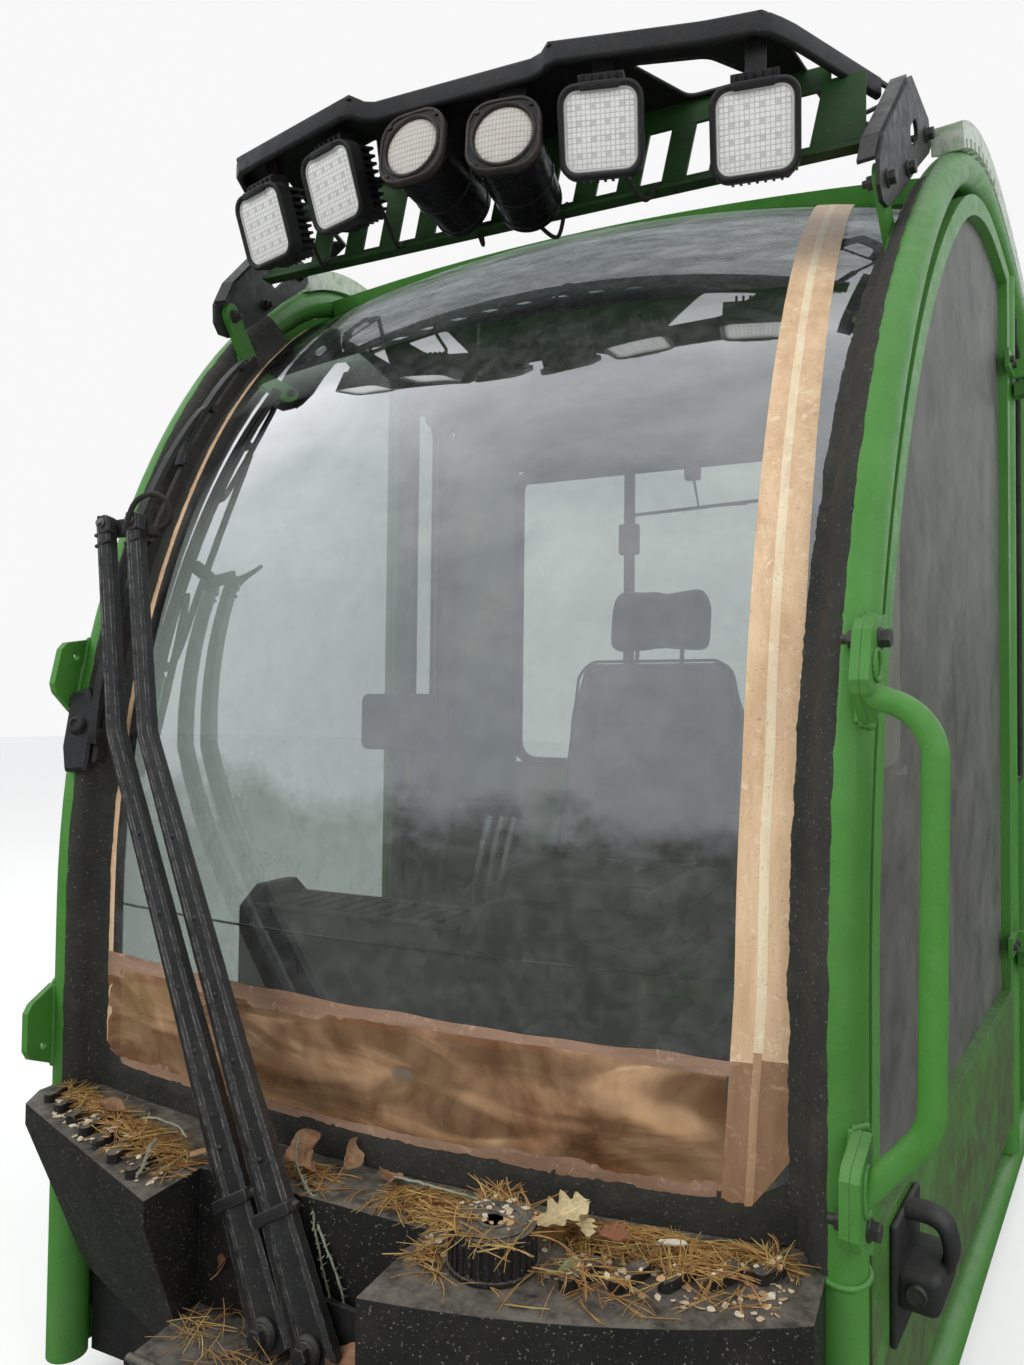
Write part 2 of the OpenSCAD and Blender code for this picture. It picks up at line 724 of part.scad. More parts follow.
module rack_top() {
    color("#1a1a1a") {
        translate([0, 0, rack_z]) linear_extrude(height = rack_t) difference() {
            rack_plan();
            for (side = [-1, 1]) {
                polygon([[side * 476, -430], [side * 578, -290], [side * 512, -262]]);
                polygon([[side * 588, -262], [side * 592, -228], [side * 556, -208], [side * 530, -236]]);
                polygon([[side * 255, -500], [side * 335, -478], [side * 380, -420], [side * 300, -420]]);
            }
        }
        intersection() {
            translate([0, 0, rack_z - far / 2]) linear_extrude(height = far) rack_plan();
            for (i = [1 : len(rack_edge) - 3]) rack_lip(rack_edge[i], rack_edge[i + 1]);
        }
    }
}

// Folded edge under the rack's plate between two points of its outline, with a solid corner at its end
module rack_lip(p, q) {
    translate([p[0], p[1], rack_z - lip_h]) rotate([0, 0, atan2(q[1] - p[1], q[0] - p[0])]) {
        translate([-1, -1, 0]) cube([norm(q - p) + 2, rack_t + 1, lip_h + 1]);
        translate([norm(q - p), 0, 0]) cylinder(r = rack_t * 1.4, h = lip_h + 1);
    }
}

module rack_lattice() {
    color("#1a1a1a") translate([0, rack_rear_y - rack_t, 0]) rotate([90, 0, 0])
        linear_extrude(height = rack_t) difference() {
        translate([-lattice_half, lattice_z]) square([2 * lattice_half, rack_z - lattice_z - seat_gap]);
        translate([lattice_half - 50, rack_z - lip_h - 2]) square([60, lip_h + 10]);
        for (i = [-6 : 6]) translate([i * lattice_pitch, lattice_z + 24])
            polygon([[-28, 0], [10, 0], [28, 84], [-10, 84]]);
    }
    color("#1a1a1a") translate([-lattice_half, rack_rear_y - 2 * rack_t - 20, lattice_z])
        cube([2 * lattice_half, 20 + rack_t / 2, rack_t]);
}

module lamp_brackets() {
    color("#1c1c1c") {
        for (l = leds) {
            led_place(l) translate([-34, clamp_y - 17, led_w / 2 + seat_gap]) {
                cube([68, 34, clamp_h]);
                for (i = [0 : 5]) translate([i * 12.4, -5, 0]) cube([6, 5.5, clamp_h - 3]);
            }
            translate([l[0], l[1], l[2]]) rotate([0, 0, -l[3]])
                translate([-15, clamp_up[0] + 3, clamp_up[1]])
                    cube([30, 18, rack_z - l[2] - clamp_up[1] - seat_gap]);
        }
        for (h = hids) translate([h[0], h[1], h[2]]) rotate([0, 0, -h[3]]) difference() {
            translate([-22, 48, 30]) cube([44, 40, rack_z - h[2] - 30 - seat_gap]);
            rotate([-hid_rise, 0, 0]) hid_barrel(seat_gap);
        }
    }
}

// Frame of a square lamp: origin at the middle of the lens, -Y out of the lens
module led_place(l) {
    translate([l[0], l[1], l[2]]) rotate([led_dip, 0, -l[3]]) children();
}

// Frame of a barrel lamp: origin at the middle of the face, -Y out of the face
module hid_place(h) {
    translate([h[0], h[1], h[2]]) rotate([-hid_rise, 0, -h[3]]) children();
}

// Tapered barrel behind a barrel lamp's face, larger all round by more
module hid_barrel(more) {
    translate([0, 14 - joint_w, 0]) rotate([-90, 0, 0])
        cylinder(r1 = hid_d * 0.48 + more, r2 = hid_d * 0.44 + more, h = hid_l - 14);
}

module led_lamps() {
    color("#161616") for (l = leds) led_place(l) {
        difference() {
            rotate([90, 0, 0]) translate([0, 0, -20]) linear_extrude(height = 24) round_square(led_w, 26);
            rotate([90, 0, 0]) linear_extrude(height = 10) round_square(led_w - 16, 20);
        }
        translate([-led_w / 2 + fin_h, 19, -led_w / 2 + fin_h])
            cube([led_w - 2 * fin_h, led_t - 26, led_w - 2 * fin_h]);
        for (i = [-3 : 3]) translate([i * fin_pitch - fin_t / 2, 19.5, -led_w / 2 + 4])
            cube([fin_t, led_t - 20, led_w - 8]);
        for (side = [-1, 1], i = [-4 : 4])
            translate([side * (led_w / 2 - 4 - fin_h / 2) - fin_h / 2, 19.5, i * fin_pitch - fin_t / 2])
                cube([fin_h, led_t - 28, fin_t]);
    }
}

module barrel_lamps() {
    color("#161616") for (h = hids) hid_place(h) {
        difference() {
            rotate([90, 0, 0]) translate([0, 0, -14]) linear_extrude(height = 14) round_square(hid_d, 40);
            translate([0, 5, 0]) rotate([90, 0, 0]) cylinder(d = hid_d - 22, h = 10);
        }
        hid_barrel(0);
        translate([0, hid_l - 1, 0]) rotate([-90, 0, 0]) cylinder(d = 34, h = 14);
    }
}

module lamp_lenses() {
    color([0.85, 0.86, 0.84, 0.6]) {
        for (l = leds) led_place(l) rotate([90, 0, 0]) translate([0, 0, seat_gap])
            linear_extrude(height = lens_t - 2) round_square(led_w - 16 - 2 * seat_gap, 19);
        for (h = hids) hid_place(h) translate([0, 5 - seat_gap, 0]) rotate([90, 0, 0])
            cylinder(d = hid_d - 22 - 2 * seat_gap, h = lens_t - 2);
    }
}

// HANDLES

module handle_tabs() {
    color("#2f8a2c") both_sides() for (z = [grab_top, grab_low])
        on_pillar(z) side_plate(tab_x, tab_x + tab_t) tab_outline(z > arc_z ? -1 : 1);
}

// Frame on a pillar's axis at height z, leaning with the pillar
module on_pillar(z) {
    translate([0, pillar_at(z), z]) rotate([-pillar_lean(z), 0, 0]) children();
}

// Plate in front of the pillar with one bolt hole; it reaches up or down from its bolt by way
module tab_outline(way) {
    difference() {
        scale([1, way]) polygon([[tab_root, -tab_short], [-tab_w + 9, -tab_short + 20], [-tab_w, 0],
            [-tab_w, tab_long - 32], [-tab_w + 9, tab_long - 20], [tab_root, tab_long]]);
        translate([-tab_hole_y, 0]) circle(r = bolt_r);
    }
}

module grab_handle() {
    color("#2f9a2c") on_side(1) {
        for (z = [grab_top, grab_low])
            on_pillar(z) side_plate(grab_plate_x - tab_t, grab_plate_x) tab_outline(z > arc_z ? -1 : 1);
        translate([0, grab_foot[0], grab_foot[1]]) rotate([-grab_lean, 0, 0]) intersection() {
            union() {
                grab_leg(grab_slope_low);
                translate([0, 0, grab_len]) mirror([0, 0, 1]) grab_leg(grab_slope_top);
                translate([grab_out, 0, grab_rise(grab_slope_low) + joint_w])
                    cylinder(d = grab_d,
                        h = grab_len - grab_rise(grab_slope_low) - grab_rise(grab_slope_top) - 2 * joint_w);
            }
            translate([grab_plate_x - tab_t / 2, -far / 2, -far / 2]) cube(far);
        }
    }
}

// Height over a leg's root at which the handle's bar becomes straight
function grab_rise(slope) = (grab_out - grab_plate_x + tab_t) * tan(slope)
    + grab_bend * tan((90 - slope) / 2);

// Sloping leg that starts inside the handle's plate and bends up into its bar
module grab_leg(slope) {
    x0 = grab_plate_x - tab_t;
    translate([x0, 0, 0]) rotate([0, 90 - slope, 0])
        cylinder(d = grab_d,
            h = (grab_out - x0) / cos(slope) - grab_bend * tan((90 - slope) / 2) - joint_w);
    translate([grab_out - grab_bend, 0, grab_rise(slope)]) rotate([90, 0, 0]) rotate([0, 0, slope - 90])
        rotate_extrude(angle = 90 - slope) translate([grab_bend, 0]) circle(d = grab_d);
}

// WASHER TANK

module tank_plan() {
    difference() {
        union() {
            polygon([[-585, -862], [-560, -905], [-125, -1062], [-125, tank_front + 20], [140, tank_front],
                [140, tank_back], [-585, tank_back]]);
            intersection() {
                translate([140, tank_back - 300]) square([416, 300]);
                translate([tank_arc[0], tank_arc[1]]) circle(r = tank_arc[2], $fn = 2 * big_fn);
            }
        }
        translate([-190, tank_front - 60]) square([330, recess_y - tank_front + 60]);
        for (side = [-1, 1]) translate([side * pillar_half, pillar_y]) circle(r = tube_r + seat_gap);
    }
}

module washer_tank() {
    color("#181818") {
        difference() {
            translate([0, 0, tank_z - tank_h]) linear_extrude(height = tank_h) tank_plan();
            translate([cap_x, cap_y, tank_z - 30]) cylinder(d = cap_d - 30, h = 31);
            translate([-560, -905, tank_z - 30]) rotate([0, 0, -19.84]) rotate([tank_slope, 0, 0])
                translate([-200, -200, -400]) cube([900, 200, 400]);
            translate([-585, -862, tank_z - 30]) rotate([0, 0, -59.83]) rotate([tank_slope, 0, 0])
                translate([-60, -200, -400]) cube([260, 200, 400]);
            translate([448, -988, 372]) rotate([90, 0, 24]) translate([0, 0, -16]) cylinder(d = 46, h = 60);
        }
        difference() {
            translate([cap_x, cap_y, tank_z]) cylinder(d = cap_d - 20, h = cap_h - 14);
            translate([cap_x, cap_y, tank_z - 1]) cylinder(d = cap_d - 30, h = cap_h);
        }
        for (r = tank_ribs) translate([r[0], r[1], tank_z]) rotate([0, 0, r[3]]) {
            translate([-8, -r[2] / 2, 0]) cube([16, r[2], rib_h]);
            for (e = [-1, 1]) translate([0, e * r[2] / 2, 0]) cylinder(d = 16, h = rib_h);
        }
    }
}

module filler_cap() {
    color("#1d1d1d") translate([cap_x, cap_y, tank_z + 2]) difference() {
        union() {
            cylinder(d = cap_d - 4, h = cap_h);
            cylinder(d = cap_d + 4, h = 4);
            for (i = [0 : 29]) rotate([0, 0, i * 12]) translate([cap_d / 2 - 4, -2.5, 4])
                cube([4, 5, cap_h - 12]);
        }
        translate([0, 0, -1]) cylinder(d = cap_d - 20 + 1, h = cap_h - 9);
    }
}

// WIPER

// Frame of the sweep: x across, z up along the tilted plane, -y out of it, origin at the left pivot
module sweep_frame() {
    translate([wiper_x, wiper_y, wiper_z]) rotate([-wiper_tilt, 0, -wiper_turn]) children();
}

module wiper_base() {
    color("#141414") sweep_frame() {
        translate([-50, 20, -42]) cube([arm_gap + 100, 8, 84]);
        for (x = [0, arm_gap]) translate([x, 23, 0]) rotate([90, 0, 0]) cylinder(d = 20, h = 42);
    }
    color("#141414") translate([wiper_x - 40, wiper_y + 26, wiper_z - 40])
        cube([arm_gap + 80, recess_y - seat_gap - wiper_y - 26, 60]);
}

module arm_outline(w0, w1) {
    difference() {
        union() {
            hull() {
                circle(d = w0);
                translate(arm_pts[1] * 0.5) circle(d = w1);
            }
            hull() {
                translate(arm_pts[1] * 0.5) circle(d = w1);
                translate(arm_pts[1]) circle(d = w1);
            }
            hull() {
                translate(arm_pts[1]) circle(d = w1);
                translate(arm_pts[2]) circle(d = w1);
            }
        }
        circle(d = 20.1);
        translate(arm_pts[2]) circle(d = 10.1);
    }
}

module wiper_arm(x) {
    sweep_frame() translate([x, 11, 0]) rotate([90, 0, 0])
        linear_extrude(height = 22) arm_outline(56, arm_w);
}

module wiper_arm_a() {
    color("#151515") wiper_arm(0);
}

module wiper_arm_b() {
    color("#151515") wiper_arm(arm_gap);
}

module blade_carrier() {
    color("#151515") difference() {
        sweep_frame() translate([arm_pts[2][0], 0, arm_pts[2][1]]) {
            translate([-14, 14, -14]) cube([arm_gap + 28, 8, 28]);
            translate([blade_in - 9, 14, -9]) cube([18, 90, 18]);
            translate([0, 15, 0]) rotate([90, 0, 0]) cylinder(d = 10, h = 30);
            translate([arm_gap, 15, 0]) rotate([90, 0, 0]) cylinder(d = 9, h = 30);
        }
        blade_sweep(-seat_gap - 200, blade_h + seat_gap, 60, blade_a0, blade_a1);
    }
}

// Ring piece on the screen's curve in the blade's plane, between two distances from the rubber's lip
module blade_sweep(d0, d1, w, a0, a1) {
    translate([blade_x - w / 2, pillar_y + arc_c[0], arc_c[1]]) stand_up() rotate([0, 0, 180 - a1])
        rotate_extrude(angle = a1 - a0, $fn = big_fn)
            translate([arc_r + screen_lift - blade_sink + d0, 0]) square([d1 - d0, w]);
}

module wiper_blade() {
    color("#101010") {
        blade_sweep(blade_h * 0.5, blade_h, blade_w, blade_a0, blade_a1);
        blade_sweep(0, blade_h * 0.5 - joint_w, blade_w / 3, blade_a0, blade_a1);
    }
}

// DOOR

module hinge_brackets() {
    color("#2f6f2c") on_side(1) for (z = [520, 1750]) translate([0, post_y, z]) {
        difference() {
            translate([tube_r + seat_gap, -25, 0]) cube([hinge_x - tube_r + 12, 34, 30]);
            translate([hinge_x, hinge_y - post_y, -1]) cylinder(d = pin_d + 0.1, h = 32);
        }
    }
}

module door_frame() {
    color("#2f8a2c") on_side(1) {
        side_plate(-door_t / 4, door_t * 3 / 4) difference() {
            door_area(0, door_z);
            door_area(door_rim, door_z + door_rail);
        }
        for (z = [520, 1750]) {
            translate([door_t * 3 / 4, hinge_y - 100, z + 36]) cube([8, 92, 40]);
            translate([hinge_x, hinge_y, z - 5]) cylinder(d = pin_d, h = 80);
            translate([hinge_x, hinge_y, z + 36]) cylinder(d = pin_d + 14, h = 40);
            translate([door_t * 3 / 4, hinge_y - 14, z + 36]) cube([hinge_x - door_t * 3 / 4, 6, 40]);
            translate([door_t * 3 / 4 + 10, hinge_y - 14, z + 36])
                cube([hinge_x - door_t * 3 / 4 - 10, 20, 40]);
        }
    }
}

module door_seal() {
    color("#141414") on_side(1) side_plate(-door_t / 4 - seal_t, -door_t / 4) difference() {
        door_area(4, door_z + 4);
        door_area(door_rim - 6, door_z + 4 + door_rim);
    }
}

module door_glass() {
    color([0.4, 0.44, 0.42, 0.45]) on_side(1) side_plate(0, glass_t)
        door_area(door_rim + seat_gap, door_z + door_rail + seat_gap);
}

module door_latch() {
    color("#131313") on_side(1) translate([door_t * 3 / 4 + seat_gap, latch_y, latch_z]) difference() {
        cube(latch_size);
        translate([-1, -1, 40]) cube([latch_size[0] - 17, latch_size[1] + 2, latch_size[2] - 70]);
    }
}

module door_bar() {
    color("#24602a") on_side(1) translate([0, bar_y, 0]) {
        mirror([1, 0, 0]) bent_bar(pad_t + seat_gap - 1, bar_in, bar_z[0], bar_z[1], bar_d, bar_bend);
        for (z = bar_z) translate([-seat_gap - pad_t, 0, z]) rotate([0, 90, 0])
            cylinder(d = 2 * bar_d, h = pad_t);
    }
}

// INTERIOR

module seat_base() {
    color("#1b1b1b") translate([0, seat_y, floor_z + seat_gap]) {
        cylinder(d = 320, h = 60);
        translate([0, 0, 60]) cylinder(d = 160, h = pan_z - floor_z - 60 - seat_gap);
        translate([-200, -200, pan_z - floor_z - seat_gap])
            cube([400, 400, seat_z - cushion_t - pan_z - seat_gap]);
        for (side = [-1, 1]) translate([side * (seat_w / 2 + 14 + seat_gap) - 14, 120, pan_z - floor_z])
            cube([28, 60, arm_z - pan_z - seat_gap * 2]);
        translate([-seat_w / 2 - 14, 130, pan_z - floor_z]) cube([seat_w + 28, 40, 40 - 2 * seat_gap]);
    }
}

module seat_cushion() {
    color("#2a2a2c") translate([-seat_w / 2, seat_y - 250, seat_z - cushion_t])
        cube([seat_w, 500, cushion_t]);
}

module seat_back() {
    color("#2a2a2c") seat_lean() translate([-seat_w / 2 + 10, 0, 0]) cube([seat_w - 20, back_t, back_h]);
}

// Frame of the backrest: origin at the foot of its front face, leaning back
module seat_lean() {
    translate([0, seat_y + 250 + seat_gap, seat_z - cushion_t + 6]) rotate([-back_lean, 0, 0]) children();
}

module headrest() {
    color("#2a2a2c") seat_lean() translate([-140, 12, back_h + seat_gap]) cube([280, back_t - 26, 180]);
}

module armrests() {
    color("#1b1b1b") for (side = [-1, 1]) translate([side * (seat_w / 2 + 50), seat_y, arm_z]) {
        translate([-40, -300, 0]) cube([80, 360, 60]);
        translate([side > 0 ? -48 : -20, 60, 0]) cube([68, 140, 50]);
    }
}

module front_console() {
    color("#1b1b1b") difference() {
        translate([console_x[0], pillar_y + 110, floor_z + seat_gap])
            cube([console_x[1] - console_x[0], 150, console_h]);
        for (i = [0 : 9]) translate([console_x[0] + 40 + i * 34, pillar_y + 109, floor_z + console_h - 46])
            cube([18, 60, 50]);
    }
}

module monitor() {
    color("#161616") translate([monitor_at[0], monitor_at[1], 0]) {
        translate([-monitor_w / 2, 0, monitor_at[2]]) cube([monitor_w, 30, 125]);
        translate([0, 15, floor_z + seat_gap]) cylinder(d = 30, h = monitor_at[2] - floor_z);
        translate([0, 15, floor_z + seat_gap]) cylinder(d = 90, h = 12);
    }
}

base_frame();
floor_pan();
front_pillars();
roof_tubes();
frame_posts();
front_apron();
sill_panels();
quarter_panels();
rear_wall();
rear_window();
side_glass();
left_window_frame();
windscreen();
screen_seal();
roof_shell();
roof_rims();
rack_lugs();
rack_ends();
rack_top();
rack_lattice();
lamp_brackets();
led_lamps();
barrel_lamps();
lamp_lenses();
handle_tabs();
grab_handle();
washer_tank();
filler_cap();
wiper_base();
wiper_arm_a();
wiper_arm_b();
blade_carrier();
wiper_blade();
hinge_brackets();
door_frame();
door_seal();
door_glass();
door_latch();
door_bar();
seat_base();
seat_cushion();
seat_back();
headrest();
armrests();
front_console();
monitor();
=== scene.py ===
# %% [markdown]
# The cab of a forestry harvester: a frame of bent green tube, a bulged one-piece windscreen
# that has been taped and filmed at its edges, a rack with six lamps, a parallel-arm wiper and a
# washer tank on which pine needles and leaves have gathered. The solids come from the CAD model
# and stay where they are. This lesson gives them their finishes and adds what a solid can't show.

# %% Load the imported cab
import json
import random
from math import asin, atan2, copysign, cos, degrees, exp, pi, radians, sin, sqrt, tan

import bmesh
import bpy
from mathutils import Matrix, Vector
from mathutils.geometry import tessellate_polygon
from mathutils.noise import noise as ripple

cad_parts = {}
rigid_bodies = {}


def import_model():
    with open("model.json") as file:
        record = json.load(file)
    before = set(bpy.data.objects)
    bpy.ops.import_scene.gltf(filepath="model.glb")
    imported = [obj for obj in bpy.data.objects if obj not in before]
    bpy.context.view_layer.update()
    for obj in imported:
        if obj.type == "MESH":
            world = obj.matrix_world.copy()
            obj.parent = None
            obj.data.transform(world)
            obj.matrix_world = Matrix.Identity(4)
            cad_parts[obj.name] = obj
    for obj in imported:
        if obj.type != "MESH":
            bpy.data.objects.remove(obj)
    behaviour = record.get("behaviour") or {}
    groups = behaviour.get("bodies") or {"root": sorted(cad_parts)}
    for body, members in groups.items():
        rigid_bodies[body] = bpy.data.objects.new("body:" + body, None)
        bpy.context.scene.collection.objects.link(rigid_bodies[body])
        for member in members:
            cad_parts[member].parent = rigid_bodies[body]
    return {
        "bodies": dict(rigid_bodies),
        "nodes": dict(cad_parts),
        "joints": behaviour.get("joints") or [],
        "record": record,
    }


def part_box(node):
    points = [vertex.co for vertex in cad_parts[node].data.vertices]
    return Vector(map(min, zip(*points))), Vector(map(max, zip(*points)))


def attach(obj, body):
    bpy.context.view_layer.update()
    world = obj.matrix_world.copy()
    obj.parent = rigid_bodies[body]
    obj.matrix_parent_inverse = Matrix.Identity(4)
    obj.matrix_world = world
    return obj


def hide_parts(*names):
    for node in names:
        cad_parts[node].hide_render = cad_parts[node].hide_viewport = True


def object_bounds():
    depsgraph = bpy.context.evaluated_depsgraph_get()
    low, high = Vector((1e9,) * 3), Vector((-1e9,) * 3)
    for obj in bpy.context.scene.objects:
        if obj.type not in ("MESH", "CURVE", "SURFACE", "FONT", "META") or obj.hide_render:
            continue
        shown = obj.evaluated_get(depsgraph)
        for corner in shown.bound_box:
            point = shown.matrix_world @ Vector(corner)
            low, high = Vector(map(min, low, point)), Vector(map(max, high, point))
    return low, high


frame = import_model()
cad_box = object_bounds()
cab_nodes = frame["nodes"]
scene = bpy.context.scene

# %% [markdown]
# The camera comes first, because it decides how much detail each piece needs. It stands in front
# of the right side of the cab at chest height and looks up a little. The three directions of the
# camera are worked out from its yaw, pitch and roll, and go into its matrix as columns.

# %% Camera
camera_place = Vector((0.683, -1.900, 1.050))
yaw, pitch, roll = radians(24.97), radians(1.80), radians(0.59)


def camera_directions(yaw, pitch, roll):
    ahead = Vector((-sin(yaw), cos(yaw), 0))
    right = Vector((cos(yaw), sin(yaw), 0))
    up = Vector((0, 0, 1))
    look = ahead * cos(pitch) + up * sin(pitch)
    top = up * cos(pitch) - ahead * sin(pitch)
    return right * cos(roll) + top * sin(roll), top * cos(roll) - right * sin(roll), look


cam_right, cam_top, cam_look = camera_directions(yaw, pitch, roll)
camera_data = bpy.data.cameras.new("photo_camera")
camera_data.sensor_fit = "HORIZONTAL"
camera_data.sensor_width = 36
camera_data.lens = 33.75
camera_data.clip_start, camera_data.clip_end = 0.05, 60
camera = bpy.data.objects.new("photo_camera", camera_data)
scene.collection.objects.link(camera)
camera.matrix_world = Matrix.Translation(camera_place) @ Matrix(
    (cam_right, cam_top, -cam_look)).transposed().to_4x4()
scene.camera = camera
print("the camera looks along", [round(c, 3) for c in cam_look])

# %% [markdown]
# A node tree is easier to read when each step is one call. This class makes a node from its kind
# and fills its sockets with numbers or with the output of another node. Its short calls are the
# steps that dirt and wear need most: a noise, a soft threshold, a mix of two colours, a sum.

# %% Helper for finishes
class Nodes:
    """The nodes of a material or of the world."""

    def __init__(self, owner, end="OutputMaterial", fresh=True):
        owner.use_nodes = True
        self.owner, self.nodes, self.links = owner, owner.node_tree.nodes, owner.node_tree.links
        if fresh:
            self.nodes.clear()
            self.end = self.add(end)
            if end == "OutputMaterial":
                self.surface(self.out("BsdfPrincipled"))
        self.coat = next((n for n in self.nodes if n.type == "BSDF_PRINCIPLED"), None)
        self.where = self.out("TexCoord", socket="Object")

    def add(self, kind, sockets=None, **choices):
        node = self.nodes.new("ShaderNode" + kind)
        for key, value in choices.items():
            setattr(node, key, value)
        for key, value in (sockets or {}).items():
            self.fill(node.inputs[key], value)
        return node

    def fill(self, socket, value):
        if isinstance(value, bpy.types.NodeSocket):
            self.links.new(value, socket)
        else:
            socket.default_value = (*value, 1) if socket.type == "RGBA" else value

    def out(self, kind, sockets=None, socket=0, **choices):
        return self.add(kind, sockets, **choices).outputs[socket]

    def set(self, **values):
        """Fills sockets of the coat; set(Base_Color=tone) fills its Base Color."""
        for key, value in values.items():
            self.fill(self.coat.inputs[key.replace("_", " ")], value)

    def surface(self, shader):
        self.fill(self.end.inputs["Surface"], shader)

    def speckle(self, scale, detail=4, rough=0.6, warp=0, where=None):
        return self.out("TexNoise", {"Vector": where or self.where, "Scale": scale, "Detail": detail,
                                     "Roughness": rough, "Distortion": warp}, "Fac")

    def step(self, value, low, high, to_low=0, to_high=1):
        return self.out("MapRange", {"Value": value, "From Min": low, "From Max": high, "To Min": to_low,
                                     "To Max": to_high})

    def mix(self, share, below, above):
        return self.out("Mix", {0: share, 6: below, 7: above}, 2, data_type="RGBA")

    def calc(self, kind, a, b=0.5, clamp=True):
        return self.out("Math", {0: a, 1: b}, operation=kind, use_clamp=clamp)

    def bump(self, height, strength, depth, **more):
        self.set(Normal=self.out("Bump", {"Strength": strength, "Distance": depth, "Height": height,
                                          **more}))


def new_finish(name):
    return Nodes(bpy.data.materials.new(name))


# %% [markdown]
# Most of the cab is painted or moulded and has stood in a wood for years, so its finishes share
# one recipe. The plain colour drifts a little, small specks of dirt sit on it, dust lies where a
# surface looks up, and the edges are rubbed. A Bevel node rounds the sharp edges of the solids for
# the light only. Where its normal differs from the true one there is an edge, which is where wear
# shows.

# %% Shared recipe for weathered surfaces
def weathered(name, colour, drift, dirt, dust, roughness=0.45, metal=0.0, dust_share=0.5, dirt_share=0.5,
              grain=900, grain_depth=0.15, edge=0.0015, wear=None, wear_share=0.6, speck=260, sheen=0.5):
    tree = new_finish(name)
    tone = tree.mix(tree.step(tree.speckle(6, 6, 0.65), 0.35, 0.7), colour, drift)
    tone = tree.mix(tree.step(tree.speckle(23, 8, 0.7, 0.4), 0.52, 0.72, 0, dirt_share), tone, dirt)
    tone = tree.mix(tree.step(tree.speckle(speck, 2, 0.5), 0.64, 0.72, 0, dirt_share), tone, dust)
    normal = tree.out("NewGeometry", socket="Normal")
    settle = tree.calc("MULTIPLY", tree.step(tree.out("SeparateXYZ", {0: normal}, "Z"), 0.35, 0.95),
                       tree.step(tree.speckle(38, 6, 0.7), 0.3, 0.62, 0, dust_share))
    tone = tree.mix(settle, tone, dust)
    rounded = tree.out("Bevel", {"Radius": edge}, samples=4)
    if wear:
        apart = tree.out("VectorMath", {0: rounded, 1: normal}, "Value", operation="DISTANCE")
        rubbed = tree.calc("MULTIPLY", tree.step(apart, 0.08, 0.3),
                           tree.step(tree.speckle(70, 5, 0.7), 0.42, 0.6, 0, wear_share))
        tone = tree.mix(rubbed, tone, wear)
    dull = tree.step(tree.speckle(45, 5, 0.7), 0.3, 0.7, roughness - 0.1, min(1, roughness + 0.16))
    tree.set(Base_Color=tone, Roughness=dull, Metallic=metal, Specular_IOR_Level=sheen)
    tree.bump(tree.speckle(grain, 3, 0.6), grain_depth, 0.001, Normal=rounded)
    return tree.owner


green_paint = weathered("green_paint", (0.058, 0.225, 0.030), (0.085, 0.265, 0.052), (0.045, 0.13, 0.028),
                        (0.24, 0.33, 0.19), 0.34, dust_share=0.35, dirt_share=0.30, grain=420,
                        grain_depth=0.12, wear=(0.16, 0.30, 0.11), speck=330)
dark_green_paint = weathered("dark_green_paint", (0.040, 0.150, 0.022), (0.060, 0.19, 0.035),
                             (0.03, 0.07, 0.02), (0.18, 0.22, 0.13), 0.42, dust_share=0.4,
                             wear=(0.14, 0.26, 0.10))
# Painted shade: the rack's lattice is green paint that lies in shadow under the rack, so it gets a much
# darker copy of the green.
shaded_green_paint = weathered("shaded_green_paint", (0.016, 0.060, 0.011), (0.026, 0.085, 0.018),
                               (0.03, 0.04, 0.02), (0.12, 0.14, 0.09), 0.45,
                               wear=(0.08, 0.14, 0.06))
rack_paint = weathered("rack_paint", (0.012, 0.012, 0.013), (0.022, 0.022, 0.023), (0.05, 0.036, 0.026),
                       (0.17, 0.16, 0.14), 0.40, dust_share=0.35, dirt_share=0.35, grain=520,
                       grain_depth=0.35, wear=(0.16, 0.14, 0.12), speck=420)
moulded_black = weathered("moulded_black", (0.011, 0.011, 0.011), (0.020, 0.019, 0.017),
                          (0.045, 0.036, 0.028), (0.42, 0.38, 0.31), 0.46, dust_share=0.42, dirt_share=0.42,
                          grain=1400, grain_depth=0.45, speck=300, wear=(0.07, 0.065, 0.06))
cast_black = weathered("cast_black", (0.013, 0.013, 0.014), (0.022, 0.022, 0.023), (0.05, 0.045, 0.04),
                       (0.16, 0.155, 0.14), 0.38, dust_share=0.3, dirt_share=0.25, grain=1100,
                       grain_depth=0.3, wear=(0.11, 0.11, 0.11), edge=0.001)
glossy_black = weathered("glossy_black", (0.006, 0.006, 0.007), (0.010, 0.010, 0.011), (0.03, 0.028, 0.026),
                         (0.12, 0.115, 0.10), 0.24, dust_share=0.2, dirt_share=0.18, grain=700,
                         grain_depth=0.08, wear=(0.05, 0.05, 0.05))
rubber = weathered("rubber", (0.016, 0.015, 0.014), (0.030, 0.027, 0.023), (0.07, 0.055, 0.04),
                   (0.18, 0.16, 0.13), 0.66, dust_share=0.4, dirt_share=0.4, grain=600, grain_depth=0.5,
                   speck=520)
zinc = weathered("zinc", (0.33, 0.33, 0.32), (0.24, 0.24, 0.23), (0.13, 0.10, 0.07), (0.30, 0.28, 0.25),
                 0.42, metal=0.9, grain=700, wear=(0.55, 0.54, 0.52), edge=0.0006)
zinc_dark = weathered("zinc_dark", (0.12, 0.115, 0.11), (0.09, 0.085, 0.08), (0.10, 0.06, 0.035),
                      (0.16, 0.14, 0.12), 0.45, metal=0.75, grain=700, wear=(0.30, 0.29, 0.27), edge=0.0006,
                      dust_share=0.25)
